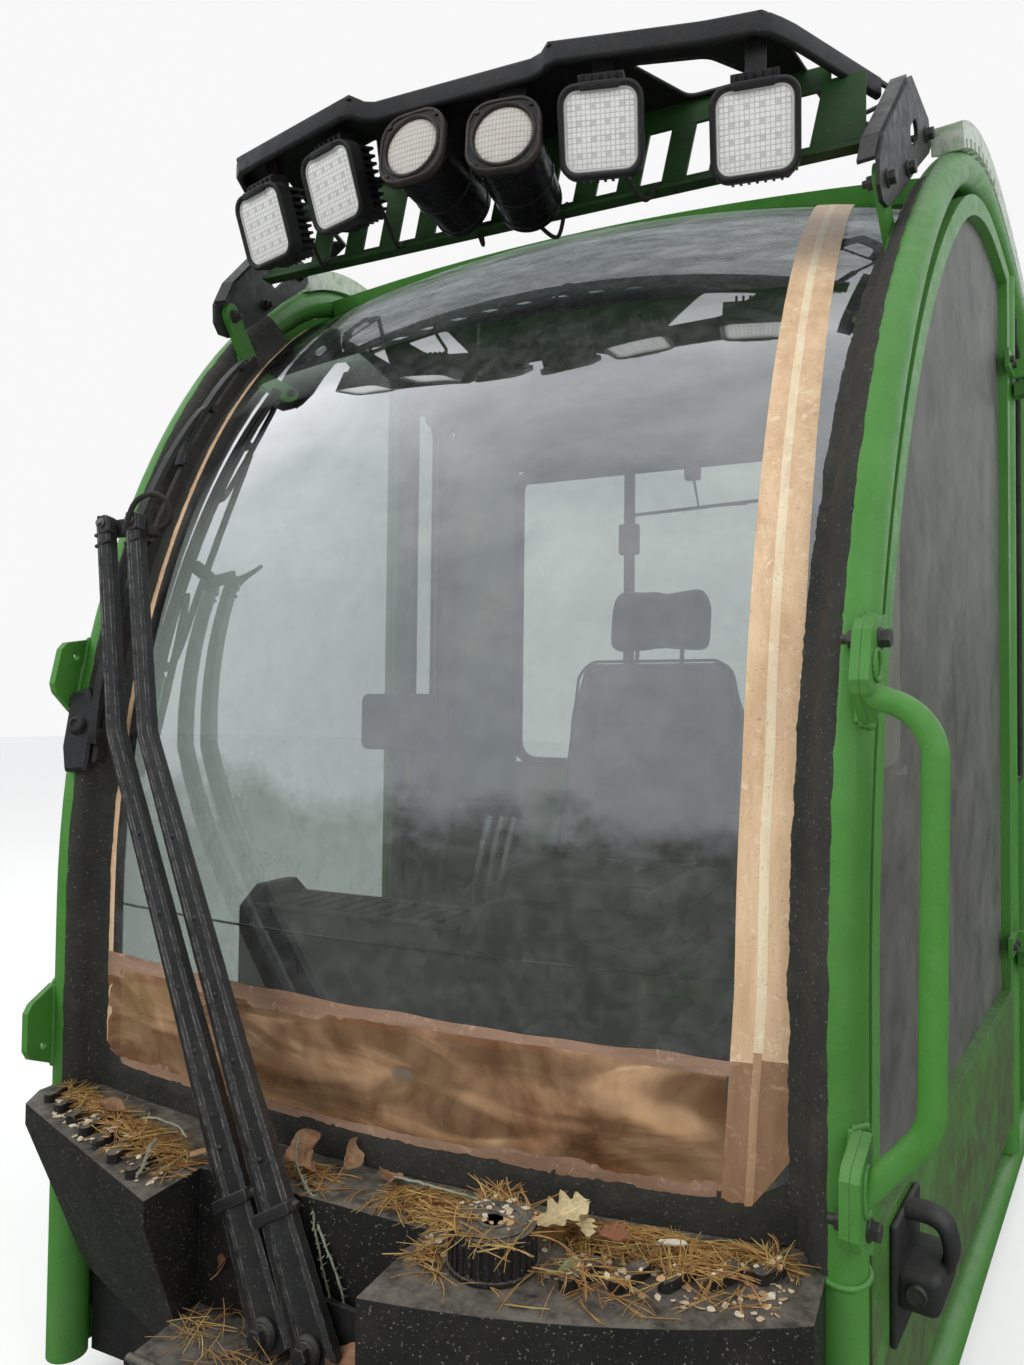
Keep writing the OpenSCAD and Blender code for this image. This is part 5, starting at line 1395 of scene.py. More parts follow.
def handle_bolts():
    bolt = moved(hex_bolt(18, 12), at(PLATE_OUT, -TAB_HOLE, 0, (0, 90, 0)))
    shank = turned([(5.4, 0), (5.4, 8), (4.6, 9), (0.5, 9)], 18)
    nut = moved(joined([hex_bolt(18, 12, 1.3), moved(shank, at(0, 0, 11))]),
                at(TAB_IN, -TAB_HOLE, 0, (0, -90, 0)))
    return joined([placed(form, pillar_matrix(up)) for up in (GRAB_TOP, GRAB_LOW) for form in (bolt, nut)])


def tab_welds(side):
    forms = []
    for up in (GRAB_TOP, GRAB_LOW):
        way = -1 if up > ARC_Z else 1
        there = pillar_matrix(up, side)
        steps = [(-34 + 122 * k / 12) * way for k in range(13)]
        inner = [Vector((TAB_IN - 1, -23.5 - 1.0 * sin(k * 1.3), z)) for k, z in enumerate(steps)]
        outer = [Vector((TAB_IN + 10.5, -7.5, z)) for z in steps]
        for path, radius in ((inner, 4.4), (outer, 3.6)):
            forms.append(placed(weld_bead(path, radius), there))
        for z in (steps[0], steps[-1]):
            across = [Vector((TAB_IN - 1 + 12 * k / 4, -23.5 + 16 * (k / 4) ** 1.5, z)) for k in range(5)]
            forms.append(placed(weld_bead(across, 4.0), there))
    return joined(forms)


pillar_foot = side_matrix(0, 0, 0.0)
foot_ring = [Vector((31.2 * cos(radians(a)), 31.2 * sin(radians(a)),
                     466 + 2.5 * sin(radians(2 * a)))) for a in range(-100, 145, 12)]


def handle_rings():
    """Weld round the bar where it meets its plates."""
    forms = []
    for up, slope, way in ((GRAB_TOP, radians(20), -1), (GRAB_LOW, radians(50), 1)):
        ring = []
        for a in range(0, 361, 15):
            t = radians(a)
            up_there = way * (28 + 10 * tan(slope)) + 15.2 / cos(slope) * sin(t)
            ring.append(Vector((PLATE_OUT + 0.8, -49.3 + 15.2 * cos(t), up_there)))
        forms.append(placed(weld_bead(ring, 3.0), pillar_matrix(up)))
    return joined(forms)


make_piece("handle_bolts_and_nuts", handle_bolts(), zinc_dark, sharp=30)
weld_forms = [tab_welds(1), tab_welds(-1), placed(weld_bead(foot_ring, 3.4), pillar_foot)]
make_piece("tab_weld_beads", joined(weld_forms), green_paint, sharp=60)
make_piece("handle_weld_rings", handle_rings(), green_paint, sharp=60)
print("weld triangles:", triangles_added["tab_weld_beads"])

# %% [markdown]
# The door's latch is a moulded housing with a D-shaped grip that stands out from the door. The grip
# is one thick bar swept along the D, flattened where the fingers pull. The lock cylinder is a small
# turned form on the housing's face.

# %% Latch of the door
LATCH_OUT, LATCH_ALONG, LATCH_UP = 24.3, 110, 330


def latch_forms():
    base = block((50, 112, 46), 11, 27, 72, 64, steps=5)
    back = block((8, 132, 138), 3.5, 4, 74, 69)
    path = rounded_path([(10, 96, 76), (34, 92, 72), (48, 86, 76), (54, 80, 92), (53, 76, 112),
                         (46, 74, 128),
                         (32, 74, 134), (8, 74, 134)])
    rings = []
    for here, ahead in zip(path, headings(path)):
        side = (Vector((0, 1, 0)) - ahead * ahead.y).normalized()
        out = ahead.cross(side)
        rings.append([here + side * 21 * copysign(abs(c) ** 0.7, c) + out * 8.5 * copysign(abs(s) ** 0.8, s)
                      for c, s in circle(16)])
    return joined([base, back, lofted(rings)])


latch_matrix = side_matrix(LATCH_OUT, LATCH_ALONG, LATCH_UP)
make_piece("latch_housing_and_grip", placed(latch_forms(), latch_matrix), latch_plastic, "door",
           instead_of=["door_latch"], sharp=50)
lock = turned([(0, 0), (12, 0), (12, 3), (10.5, 5), (9.4, 5), (9.4, 3.6), (2.4, 3.6), (2.4, 4.6), (0, 4.6)],
              32)
make_piece("latch_lock_cylinder", placed(moved(lock, at(28, 15.5, 66, (90, 0, 0))), latch_matrix),
           zinc_dark, "door")
print("latch triangles:", triangles_added["latch_housing_and_grip"])

# %% [markdown]
# The seat is padded, and padding swells between its seams. Each pad starts as a block with rounded
# edges, slightly too small, is remeshed finely and blown up by the cloth simulation with a little
# pressure. How far a point may move is capped, so a pad can't grow into its neighbour. The pressed
# middle, the side bolsters and the sewn channels are worked in as smooth moves of the points
# afterwards, because the remesh would erase anything finer than itself.

# %% Seat fabric
def seat_cloth(name, colour, pale, rib):
    tree = new_finish(name)
    weave = tree.calc("MULTIPLY", *[
        tree.out("TexWave", {"Vector": tree.where, "Scale": rib, "Distortion": 1.2, "Detail": 2,
                             "Detail Scale": 3},
                 "Fac", bands_direction=axis) for axis in "XZ"])
    tone = tree.mix(tree.step(tree.speckle(11, 6, 0.65), 0.35, 0.65), colour, pale)
    tone = tree.mix(tree.step(weave, 0.2, 0.9, 0.0, 0.5), tone, [c * 0.45 for c in colour])
    fluff = tree.step(tree.speckle(380, 2, 0.6), 0.64, 0.72, 0, 0.45)
    tone = tree.mix(fluff, tone, (0.22, 0.20, 0.17))
    tree.set(Base_Color=tone, Roughness=tree.step(weave, 0, 1, 0.75, 0.95), Sheen_Weight=0.35,
             Sheen_Roughness=0.5)
    tree.bump(weave, 0.5, 0.0015)
    return tree.owner


seat_fabric = seat_cloth("seat_fabric", (0.060, 0.050, 0.045), (0.095, 0.080, 0.070), 210)
seat_side_fabric = seat_cloth("seat_side_fabric", (0.030, 0.029, 0.030), (0.045, 0.043, 0.044), 260)
piping_black = weathered("piping_black", (0.014, 0.014, 0.015), (0.022, 0.022, 0.022), (0.04, 0.036, 0.03),
                         (0.12, 0.11, 0.10), 0.55, dust_share=0.2, dirt_share=0.2, grain=1500,
                         grain_depth=0.3)


# %% Padding that swells
def swollen(name, size, radius, voxel, most):
    """A block blown up like a pad; returns its points and faces about the block's middle, in metres."""
    form = rounded_block(size, radius, 4)
    mesh = bpy.data.meshes.new(name)
    mesh.from_pydata([tuple(p) for p in form[0]], [], form[1])
    pad = bpy.data.objects.new(name, mesh)
    scene.collection.objects.link(pad)
    bpy.context.view_layer.objects.active = pad
    pad.select_set(True)
    remesh = pad.modifiers.new("even_skin", "REMESH")
    remesh.mode, remesh.voxel_size = "VOXEL", voxel
    bpy.ops.object.modifier_apply(modifier="even_skin")
    start = [v.co.copy() for v in pad.data.vertices]
    cloth = pad.modifiers.new("padding", "CLOTH")
    cloth.settings.use_pressure = True
    cloth.settings.uniform_pressure_force = 4.0
    cloth.settings.effector_weights.gravity = 0
    cloth.settings.mass = 0.3
    for number in range(1, 21):
        scene.frame_set(number)
    bpy.ops.object.modifier_apply(modifier="padding")
    scene.frame_set(1)
    points = []
    for v, was in zip(pad.data.vertices, start):
        move = v.co - was
        points.append(was + move * min(1, most / max(move.length, 1e-9)))
    faces = [list(p.vertices) for p in pad.data.polygons]
    bpy.data.objects.remove(pad)
    return points, faces


def soften(value, low, high):
    t = min(1, max(0, (value - low) / (high - low)))
    return t * t * (3 - 2 * t)


def seat_cushion_shape(p):
    """Bolsters at the sides, a hollow in the middle and two sewn channels; metres about the middle."""
    top = soften(p.z, -0.01, 0.035)
    bolster = soften(abs(p.x), 0.150, 0.190) * (1 - soften(abs(p.x), 0.215, 0.245))
    hollow = (1 - soften(abs(p.x), 0.02, 0.17)) * (1 - soften(abs(p.y - 0.02), 0.05, 0.22))
    seam = exp(-((abs(p.x) - 0.150) / 0.005) ** 2) + exp(-((p.y + 0.145) / 0.005) ** 2) * (abs(p.x) < 0.15)
    p.z += top * (0.006 * bolster - 0.014 * hollow - 0.008 * min(1, seam))
    p.z -= 0.018 * soften(-p.y, 0.16, 0.25) * top
    return p


def backrest_shape(p):
    """The same for the backrest: Y faces the driver's back, so the front is at low Y."""
    front = soften(-p.y, -0.01, 0.03)
    bolster = soften(abs(p.x), 0.135, 0.180)
    waist = exp(-((p.z + 0.12) / 0.10) ** 2) * (1 - soften(abs(p.x), 0.10, 0.16))
    seam = exp(-((abs(p.x) - 0.140) / 0.005) ** 2)
    for level in (-0.19, -0.04, 0.11):
        seam += exp(-((p.z - level) / 0.005) ** 2) * (abs(p.x) < 0.14)
    p.y += front * (0.010 * (1 - bolster) - 0.010 * waist + 0.008 * min(1, seam))
    narrow = 1 - 0.16 * soften(p.z, 0.12, 0.30)
    p.x *= narrow
    return p


def headrest_shape(p):
    p.y += 0.006 * (1 - soften(abs(p.x), 0.03, 0.11)) * soften(-p.y, 0.0, 0.03)
    p.x *= 1 - 0.10 * soften(p.z, 0.02, 0.09)
    return p


def make_pad(name, size, radius, most, frame_of_place, shape, finish, node):
    voxel = 0.0065
    points, faces = swollen(name + "_start", size, radius, voxel, most)
    points = [shape(p) for p in points]
    pad = make_piece(name, moved((points, faces), frame_of_place), finish,
                     instead_of=[node], sharp=80)
    smooth = pad.modifiers.new("round", "SUBSURF")
    smooth.levels = smooth.render_levels = 1
    return pad


seat_back_matrix = at(0, 0.2803, 0.616, (-10, 0, 0))
make_pad("cushion_pad", (0.476, 0.478, 0.086), 0.030, 0.010, at(0, 0.030, 0.665),
         seat_cushion_shape, seat_fabric, "seat_cushion")
make_pad("backrest_pad", (0.452, 0.086, 0.572), 0.030, 0.010, seat_back_matrix @ at(0, 0.055, 0.300),
         backrest_shape, seat_fabric, "seat_back")
make_pad("headrest_pad", (0.256, 0.062, 0.156), 0.024, 0.009,
         seat_back_matrix @ at(0, 0.054, 0.690), headrest_shape, seat_side_fabric, "headrest")
print("pads:", [n for n in triangles_added if n.endswith("_pad")])

# %% [markdown]
# Details that a remesh would erase come after it: piping along the cushion's upper edge and round
# the backrest, the two steel rods of the headrest, and the lap belt with its buckle. The belt is a
# flat strap laid over the cushion from one side to the other.

# %% Piping, rods and belt
def sewn_edge(width, height, corner):
    return round_outline(width, height, corner, 8)


cushion_edge = [Vector((x, y + 30, 700 - 16 * soften(-y / 1000, 0.16, 0.25)))
                for x, y in sewn_edge(464, 464, 40)]
back_edge = [Vector((x * (1 - 0.16 * soften(z / 1000, 0.12, 0.30)), 14, z + 300))
             for x, z in sewn_edge(436, 552, 46)]
piping = joined([moved(swept(cushion_edge + cushion_edge[:2], 4.0, 8), MM),
                 placed(swept(back_edge + back_edge[:2], 4.0, 8), seat_back_matrix)])
make_piece("seat_piping", piping, piping_black, sharp=60)

rods = [placed(swept([(x, 60, 570), (x, 60, 622)], 5.5, 14), seat_back_matrix) for x in (-58, 58)]
make_piece("headrest_rods", joined(rods), zinc)

shell = stacked([(2 * half, 2 * deep, min(deep - 1, 14), z) for z, half, deep in (
    (20, 214, 10), (60, 226, 16), (300, 226, 20), (470, 206, 18), (560, 176, 12), (590, 150, 8))], 5)
make_piece("backrest_shell", placed(moved(shell, at(0, 108, 0)), seat_back_matrix), trim_grey, sharp=50)


ACROSS_BELT = Vector((0, 1, 0))
belt_path = rounded_path([(268, 215, 640), (262, 205, 700), (236, 190, 733), (180, 178, 729),
                          (110, 170, 716),
                          (60, 166, 712)])
belt_short = rounded_path([(-268, 215, 640), (-262, 205, 700), (-236, 190, 733), (-190, 184, 731)])
belt = [flat_bar(path, ACROSS_BELT, 48, 1.6) for path in (belt_path, belt_short)]
webbing = seat_cloth("belt_webbing", (0.026, 0.026, 0.028), (0.04, 0.04, 0.042), 420)
make_piece("lap_belt", in_metres(belt), webbing, sharp=70)
buckle = [block((62, 54, 15), 4, -160, 180, 735),
          block((20, 50, 5), 1.5, -122, 178, 733),
          block((10, 40, 34), 3, 268, 215, 634), block((10, 40, 34), 3, -268, 215, 634)]
make_piece("belt_buckle", in_metres(buckle), piping_black)
print("belt length in mm:", round(path_length(belt_path)))

# %% [markdown]
# The console in front of the seat is a moulded housing: a sloping hood with a grille of narrow
# slots over the heater, two side cheeks and a shelf. The monitor stands on a post beside it, with
# a rounded case, a recessed dark screen and a row of keys. On the armrests stand the joysticks on
# their round pods. They replace the plain solids, and stay where those are.

# %% Console, monitor and armrests
def console_forms():
    left, right, middle = -340, 60, -140
    profile = [(-706, 246), (-706, 690), (-700, 716), (-686, 736), (-664, 746), (-590, 746), (-566, 736),
               (-556, 716), (-556, 640), (-572, 610), (-572, 246)]
    cheek = [(-700, 610), (-700, 742), (-660, 770), (-580, 770), (-548, 742), (-548, 610)]
    rings = []
    for x, draw_in in ((left, 6), (left + 5, 1.5), (left + 12, 0), (right - 12, 0), (right - 5, 1.5),
                       (right, 6)):
        rings.append([(x, y + (draw_in if y < -630 else -draw_in), z - (draw_in if z > 600 else 0))
                      for y, z in profile])
    forms = [lofted(rings)]
    forms += [block((9, 104, 7), 3, -278 + i * 31, -640, 748) for i in range(10)]
    forms += [block((366, 10, 9), 4, middle, -694, 745), block((366, 10, 9), 4, middle, -584, 748)]
    forms += [moved(plate(cheek, -9, 9), at(middle + shift, 0, 0, (90, 0, 90))) for shift in (-196, 196)]
    forms.append(block((330, 8, 120), 3, middle, -553, 470))
    forms += [block((34, 8, 20), 3, -236 + 48 * i, -551, 690) for i in range(5)]
    return joined(forms)


make_piece("console_hood_and_grille", moved(console_forms(), MM), trim_grey,
           instead_of=["front_console"], sharp=40)

dark_glass = weathered("dark_glass", (0.006, 0.007, 0.009), (0.010, 0.012, 0.014), (0.03, 0.03, 0.03),
                       (0.10, 0.10, 0.095), 0.12, dust_share=0.1, dirt_share=0.1, grain=300,
                       grain_depth=0.02)
case = [moved(stacked([(176, 112, 14, -15), (188, 124, 18, -10), (190, 125, 18, 4), (170, 108, 16, 14),
                       (120, 70, 12, 15)]), at(-440, -75, 1027, (90, 0, 180))),
        moved(turned([(0, 0), (45, 0), (45, 8), (40, 12), (16, 14), (15, 30), (15, 700), (12, 704),
                      (0, 704)], 28),
              at(-440, -75, 246.3)),
        block((48, 26, 40), 6, -440, -68, 955),
        moved(turned([(0, -26), (9, -26), (9, 26), (0, 26)], 20), at(-440, -72, 958, (0, 90, 0)))]
make_piece("monitor_case_and_post", in_metres(case), trim_grey,
           instead_of=["monitor"], sharp=40)
face = moved(stacked([(158, 92, 6, 0), (156, 90, 5, 1.2)]), at(-440, -60, 1031, (90, 0, 180)))
make_piece("monitor_screen", moved(face, MM), dark_glass)
keys = [block((13, 3, 6), 1.2, -440 - 66 + 22 * i, -59.5, 978) for i in range(7)]
make_piece("monitor_keys", in_metres(keys), piping_black)


def armrest_forms(side):
    top = stacked([(w, l, min(w, l) / 2 - 1, z) for w, l, z in (
        (70, 344, 0), (78, 356, 8), (80, 360, 26), (79, 358, 46), (70, 346, 57), (44, 312, 60))], 8)
    return [moved(top, at(side * 300, -90, 790)), block((60, 132, 46), 9, side * 286, 130, 815)]


def joystick_forms(side):
    pod = turned([(0, 0), (39, 0), (39, 6), (34, 14), (22, 20), (16, 34), (10, 44), (0, 46)], 32)
    grip_path = rounded_path([(0, 0, 38), (0, -3, 60), (side * 2, -4, 86), (side * 3, 2, 112),
                              (side * 1, 12, 132),
                              (0, 14, 140)], 5)
    thickness = [9, 9, 10, 12, 14, 16, 17, 18, 18, 18, 17, 16, 16, 17, 18, 20, 21, 21, 20, 19, 18, 16, 13,
                 9, 6, 3]
    button = turned([(0, 0), (4.5, 0), (4.5, 3), (3.5, 4), (0, 4)], 14)
    buttons = [moved(button, at(dx, -10 + dy, 130 + dz, (40, 0, 0)))
               for dx, dy, dz in ((-8, 0, 0), (0, -1, 2), (8, 0, 0), (-5, 3, 8), (5, 3, 8))]
    return moved(joined([pod, swept(grip_path, thickness, 16)] + buttons), at(side * 300, -205, 850))


make_piece("armrest_pads", in_metres(armrest_forms(-1) + armrest_forms(1)), piping_black,
           instead_of=["armrests"], sharp=60)
make_piece("joysticks", in_metres([joystick_forms(-1), joystick_forms(1)]), trim_grey, sharp=60)

cylinder_rail = weathered("cylinder_rail", (0.42, 0.43, 0.43), (0.36, 0.36, 0.36), (0.16, 0.14, 0.12),
                          (0.36, 0.34, 0.30), 0.28, metal=0.85, dust_share=0.3, grain=500,
                          wear=(0.6, 0.6, 0.58))
levers = [swept(rounded_path([(-150 + x, -250, 640), (-148 + x, -262, 720), (-140 + x, -250, 800),
                              (-132 + x, -236, 850)]), 9, 16) for x in (0, 26, 52)]
make_piece("chrome_levers", in_metres(levers), cylinder_rail, sharp=60)
lever_base = block((96, 70, 390), 10, -124, -236, 448)
make_piece("lever_box", moved(lever_base, MM), trim_grey)
print("console triangles:", triangles_added["console_hood_and_grille"])

# %% [markdown]
# Through the screen one sees the rear window: an opening with a rubber gasket, a top bar, one
# upright bar left of the seat and a wiper on a thin arm. The gasket is a bar swept round the
# opening with rounded corners.

# %% Rear window gasket, bars and wiper
REAR_Y = 807.8


def gasket(outline, y, radius):
    path = [Vector((x, y, z)) for x, z in outline]
    return swept(path + path[:2], radius, 8, 1.5)


rear_outline = [(x, z + 1350) for x, z in round_outline(1112, 892, 60, 8)]
gaskets = [gasket(rear_outline, REAR_Y - 12, 9), gasket(rear_outline, REAR_Y + 7, 8)]
make_piece("rear_window_gasket", in_metres(gaskets), rubber, sharp=60)
bars = [block((30, 22, 1000), 6, -190, REAR_Y - 28, 1350),
        block((1090, 20, 34), 6, 0, REAR_Y - 28, 1770),
        block((60, 30, 90), 8, -190, REAR_Y - 30, 1560),
        block((44, 34, 54), 8, 0, REAR_Y - 40, 1742)]
make_piece("rear_window_bars", in_metres(bars), rack_paint, sharp=40)
wiper_bits = [swept([(0, REAR_Y - 30, 1726), (14, REAR_Y - 26, 1640), (150, REAR_Y - 22, 1640)], 4, 10),
              swept([(-210, REAR_Y - 20, 1632), (250, REAR_Y - 20, 1648)], 5, 8)]
make_piece("rear_window_wiper", in_metres(wiper_bits), cast_black, sharp=60)
print("rear window pieces:", [n for n in triangles_added if n.startswith("rear_window")])

# %% [markdown]
# The rack is bolted together and its plate is folded down at the front, so its edge is a soft
# thick line. A rounded bar in the plan of that edge makes the fold. Hexagon bolts go through the
# end plates and the lugs, and short beads weld the lugs to the pillars.

# %% Folded edge, bolts and welds of the rack
RACK_TOP = 2052
rack_line = [(-622, -300), (-598, -355), (-506, -565), (-214, -632), (-196, -600), (106, -590), (131, -614),
             (353, -562), (436, -550), (468, -512), (570, -338), (622, -250)]


def fold_path():
    """The edge in plan with its corners cut round, a little inside the plate's outline."""
    path = []
    corners = [Vector((*place, 0)) for place in rack_line]
    for before, here, after in zip(corners, corners[1:], corners[2:]):
        for way in (before - here, after - here):
            path.append(here + way.normalized() * min(14, way.length * 0.3))
    return path


def fold_form():
    rings = []
    path = fold_path()
    section = round_outline(13, 34, 5.5, 4)
    for here, ahead in zip(path, headings(path)):
        inward = Vector((-ahead.y, ahead.x, 0))
        middle = here + inward * 6.6 + Vector((0, 0, RACK_TOP - 17.2))
        rings.append([middle + inward * a + Vector((0, 0, b)) for a, b in section])
    return lofted(rings)


make_piece("rack_folded_edge", moved(fold_form(), MM), rack_paint, sharp=70)
rack_bolts, rack_welds = [], []
rack_bolt = moved(hex_bolt(19, 12), at(0, 0, 0, (0, 90, 0)))
rack_shank = turned([(0, 0), (5.6, 0), (5.6, 17), (4.8, 18), (0, 18)], 16)
rack_nut = moved(joined([hex_bolt(19, 11, 1.3), rack_shank]), at(0, 0, 0, (0, -90, 0)))
tangent = Vector((0, -0.6921, -0.7218))
base = Vector((-28.5, PILLAR_ARC_R - 1451 * 0.7218, ARC_Z + 1451 * 0.6921))
under = Vector((-36, PILLAR_ARC_R - 1431 * 0.7218, ARC_Z + 1431 * 0.6921))
for side in (-1, 1):
    for along, up, inner in ((338.6, 1806.2, -40.3), (470, 1884, -30), (610, 2008, -30)):
        rack_bolts.append(placed(rack_bolt, side_matrix(-24, along, up, side)))
        rack_bolts.append(placed(rack_nut, side_matrix(inner, along, up, side)))
    zero = side_matrix(0, 0, 0, side)
    for start, radius in ((base, 5.0), (under, 4.0)):
        line = [start + tangent * t for t in range(-25, 26, 5)]
        rack_welds.append(placed(weld_bead(line, radius), zero))
    for end in (-25, 25):
        line = [under + tangent * end, base + tangent * end]
        rack_welds.append(placed(weld_bead(line, 4.2), zero))
make_piece("rack_bolts", joined(rack_bolts), zinc_dark, sharp=30)
make_piece("rack_lug_welds", joined(rack_welds), green_paint, sharp=60)

# %% [markdown]
# Each lamp has a short cable that leaves its back and hangs in a loop to the rack's rail. Both of
# its ends are held, so it is a small piece of the rack. A smooth path through six points makes a
# believable sag, and a gland stands where it leaves the lamp.

# %% Lamp cables
cables, glands, cable_lengths = [], [], []
for i, (x, y, z, turn) in enumerate(square_lamps + barrel_lamps):
    square = i < len(square_lamps)
    frame_of_lamp = at(x, y, z, (LAMP_DIP if square else -LAMP_RISE, 0, -turn))
    back = frame_of_lamp @ Vector((18 if square else 0, 56 if square else 184, -20 if square else 0))
    out = (frame_of_lamp.to_3x3() @ Vector((0, 1, 0))).normalized()
    end = Vector((x + (36 if square else 20), -402, 1916))
    low = (back + out * 30).lerp(end, 0.55) + Vector((6, 0, -34 - 6 * (i % 3)))
    path = rounded_path([back - out * 4, back + out * 14, back + out * 30 + Vector((0, 0, -8)), low,
                         end + Vector((0, -12, -8)), end])
    cables.append(swept(path, 3.6, 10))
    cable_lengths.append(round(path_length(path)))
    glands.append(moved(turned([(0, -3), (9, -3), (9, 5), (7, 9), (5, 15), (0, 15)], 16),
                        facing(back, out)))
make_piece("lamp_cables", in_metres(cables), rubber, sharp=60)
make_piece("lamp_glands", in_metres(glands), piping_black, sharp=40)
print("lamp cable lengths in mm:", cable_lengths)

# %% [markdown]
# A few small fittings finish the front: the ring pressed into the filler cap's top, the bolt in
# the tank's round recess, the holder with its round bolt on the left pillar, and the bolts of the
# door's hinges. They are turned or bevelled forms, each put where the solid that holds it is.

# %% Small fittings
cap_ring = [(0, 0), (30, 0), (30, 1.2), (33, 2.2), (37, 2.2), (38.5, 1.4), (38.5, -4), (0, -4)]
cap_dish = [(0, 0.2), (12, 0.2), (12, 1.4), (14, 1.8), (17, 1.4), (17, 0.2), (17, -3), (0, -3)]
cap_top = at(0.235, -0.971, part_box("filler_cap")[1][2] - 0.0002)
make_piece("cap_top_rings", placed(joined([turned(cap_ring, 48), turned(cap_dish, 32)]), cap_top),
           moulded_black, "cap", sharp=30)
tank_bolt = joined([hex_bolt(17, 9), moved(turned([(0, 0), (18, 0), (18, 2), (16, 3), (0, 3)], 28),
                                           at(0, 0, -1))])
make_piece("tank_recess_bolt", placed(tank_bolt, facing((0.4415, -0.9734, 0.372), (0.407, -0.914, 0))),
           zinc_dark, sharp=30)
holder_outline = [(-32, -64), (6, -66), (16, -30), (14, 58), (-14, 66), (-34, 30)]
holder_rings = [ring_at([(x * wide, y * high) for x, y in holder_outline], z)
                for wide, high, z in ((0.9, 0.95, 0), (1, 1, 3), (1, 1, 13), (0.86, 0.92, 17))]
holder = moved(lofted(holder_rings), at(0, -27, 0, (90, 0, 0)))
knob = moved(turned([(0, 0), (15, 0), (15, 4), (12, 8), (8, 9), (7, 6), (0, 6)], 28),
             at(-8, -44, 6, (90, 0, 0)))
make_piece("left_pillar_holder", placed(joined([holder, knob]), pillar_matrix(1010, -1)), rack_paint,
           sharp=35)
hinge_bolt = moved(hex_bolt(13, 8), at(0, 0, 0, (0, 90, 0)))
hinge_bolts = [placed(hinge_bolt, side_matrix(32, along, up))
               for up in (576, 1806) for along in (1191, 1233)]
make_piece("door_hinge_bolts", joined(hinge_bolts), zinc_dark, "door", sharp=30)
print("small fittings done, triangles so far:", sum(triangles_added.values()))

# %% [markdown]
# The back and the sides get the fittings that such a cab has: a bolted service cover and a louvre
# grille under the rear window, rubber gaskets round the quarter windows, and a roof hatch with its
# seal. The photograph doesn't show the back, so these follow common practice. The gasket's outline
# follows the underside of the roof tube, which is read from the solid.

# %% Covers, grille and hatch
def bolted_cover(width, height, corner, bolts_across, bolts_up):
    cover = stacked([(width - cut, height - cut, corner - less, z) for cut, less, z in (
        (0, 0, 0), (0, 0, 2.5), (3, 1.5, 4), (90, 0, 4), (104, 4, 9), (120, 6, 9.6))])
    heads = []
    for i in range(bolts_across):
        for j in range(bolts_up):
            if i in (0, bolts_across - 1) or j in (0, bolts_up - 1):
                x = (width - 44) * (i / (bolts_across - 1) - 0.5)
                y = (height - 44) * (j / (bolts_up - 1) - 0.5)
                heads.append(moved(hex_bolt(13, 7), at(x, y, 4)))
    return cover, joined(heads)


cover, heads = bolted_cover(620, 420, 40, 4, 3)
cover_place = at(0.18, (REAR_Y + 0.4) / 1000, 0.54, (-90, 0, 0))
make_piece("rear_service_cover", placed(cover, cover_place), dark_green_paint, sharp=35)
make_piece("rear_cover_bolts", placed(heads, cover_place), zinc_dark, sharp=30)


def louvre_grille(width, height, count):
    outer, inner = round_outline(width, height, 18), round_outline(width - 44, height - 44, 10)
    outer_lip = [(x * 0.99, y * 0.99) for x, y in outer]
    inner_lip = [(x * 1.02, y * 1.02) for x, y in inner]
    rim = lofted([ring_at(outer, 0), ring_at(outer, 4), ring_at(outer_lip, 6), ring_at(inner_lip, 6),
                  ring_at(inner, 4), ring_at(inner, 0)], (False, False))
    forms = [rim, plate(inner, -0.2, 0.8)]
    step = (height - 60) / count
    for i in range(count):
        up = -(height - 60) / 2 + step * (i + 0.5)
        slat = [(0, -step * 0.42), (9, -step * 0.20), (10, -step * 0.12), (2, step * 0.34),
                (0, step * 0.34)]
        rings = [[(x, up + v, u + 0.6) for u, v in slat] for x in (-(width - 50) / 2, (width - 50) / 2)]
        forms.append(lofted(rings))
    return joined(forms)


grille_place = at(-0.36, (REAR_Y + 0.4) / 1000, 0.54, (-90, 0, 0))
make_piece("rear_louvre_grille", placed(louvre_grille(300, 420, 11), grille_place), rack_paint, sharp=35)


roof_line = {}
for v in cab_nodes["roof_tubes"].data.vertices:
    right, back, up = v.co * 1000
    along = (right - PILLAR_HALF) * sin(FLARE) + (back - PILLAR_Y) * cos(FLARE)
    out = (right - PILLAR_HALF) * cos(FLARE) - (back - PILLAR_Y) * sin(FLARE)
    if right > 0 and abs(out) < 8:
        step = round(along / 12) * 12
        roof_line[step] = min(up, roof_line.get(step, up))
print("points on the underside of the roof tube:", len(roof_line))


def side_roof(along):
    """Height of the side tube's underside at a distance along, read from the solid of the roof tubes."""
    return roof_line[min(sorted(roof_line), key=lambda step: abs(step - along))]


def frame_outline(low_along, high_along, low_up, inset):
    """Outline of a window in a side frame: straight below, following the roof's curve above."""
    steps = 26
    span = high_along - low_along
    top = [(low_along + span * i / steps, side_roof(low_along + span * i / steps) - inset)
           for i in range(steps + 1)]
    left = [(low_along, low_up + (top[0][1] - low_up) * k / 8) for k in range(8)]
    right = [(high_along, low_up + (top[-1][1] - low_up) * (8 - k) / 8) for k in range(1, 9)]
    bottom = [(high_along - span * k / 8, low_up) for k in range(1, 8)]
    return left + top + right + bottom


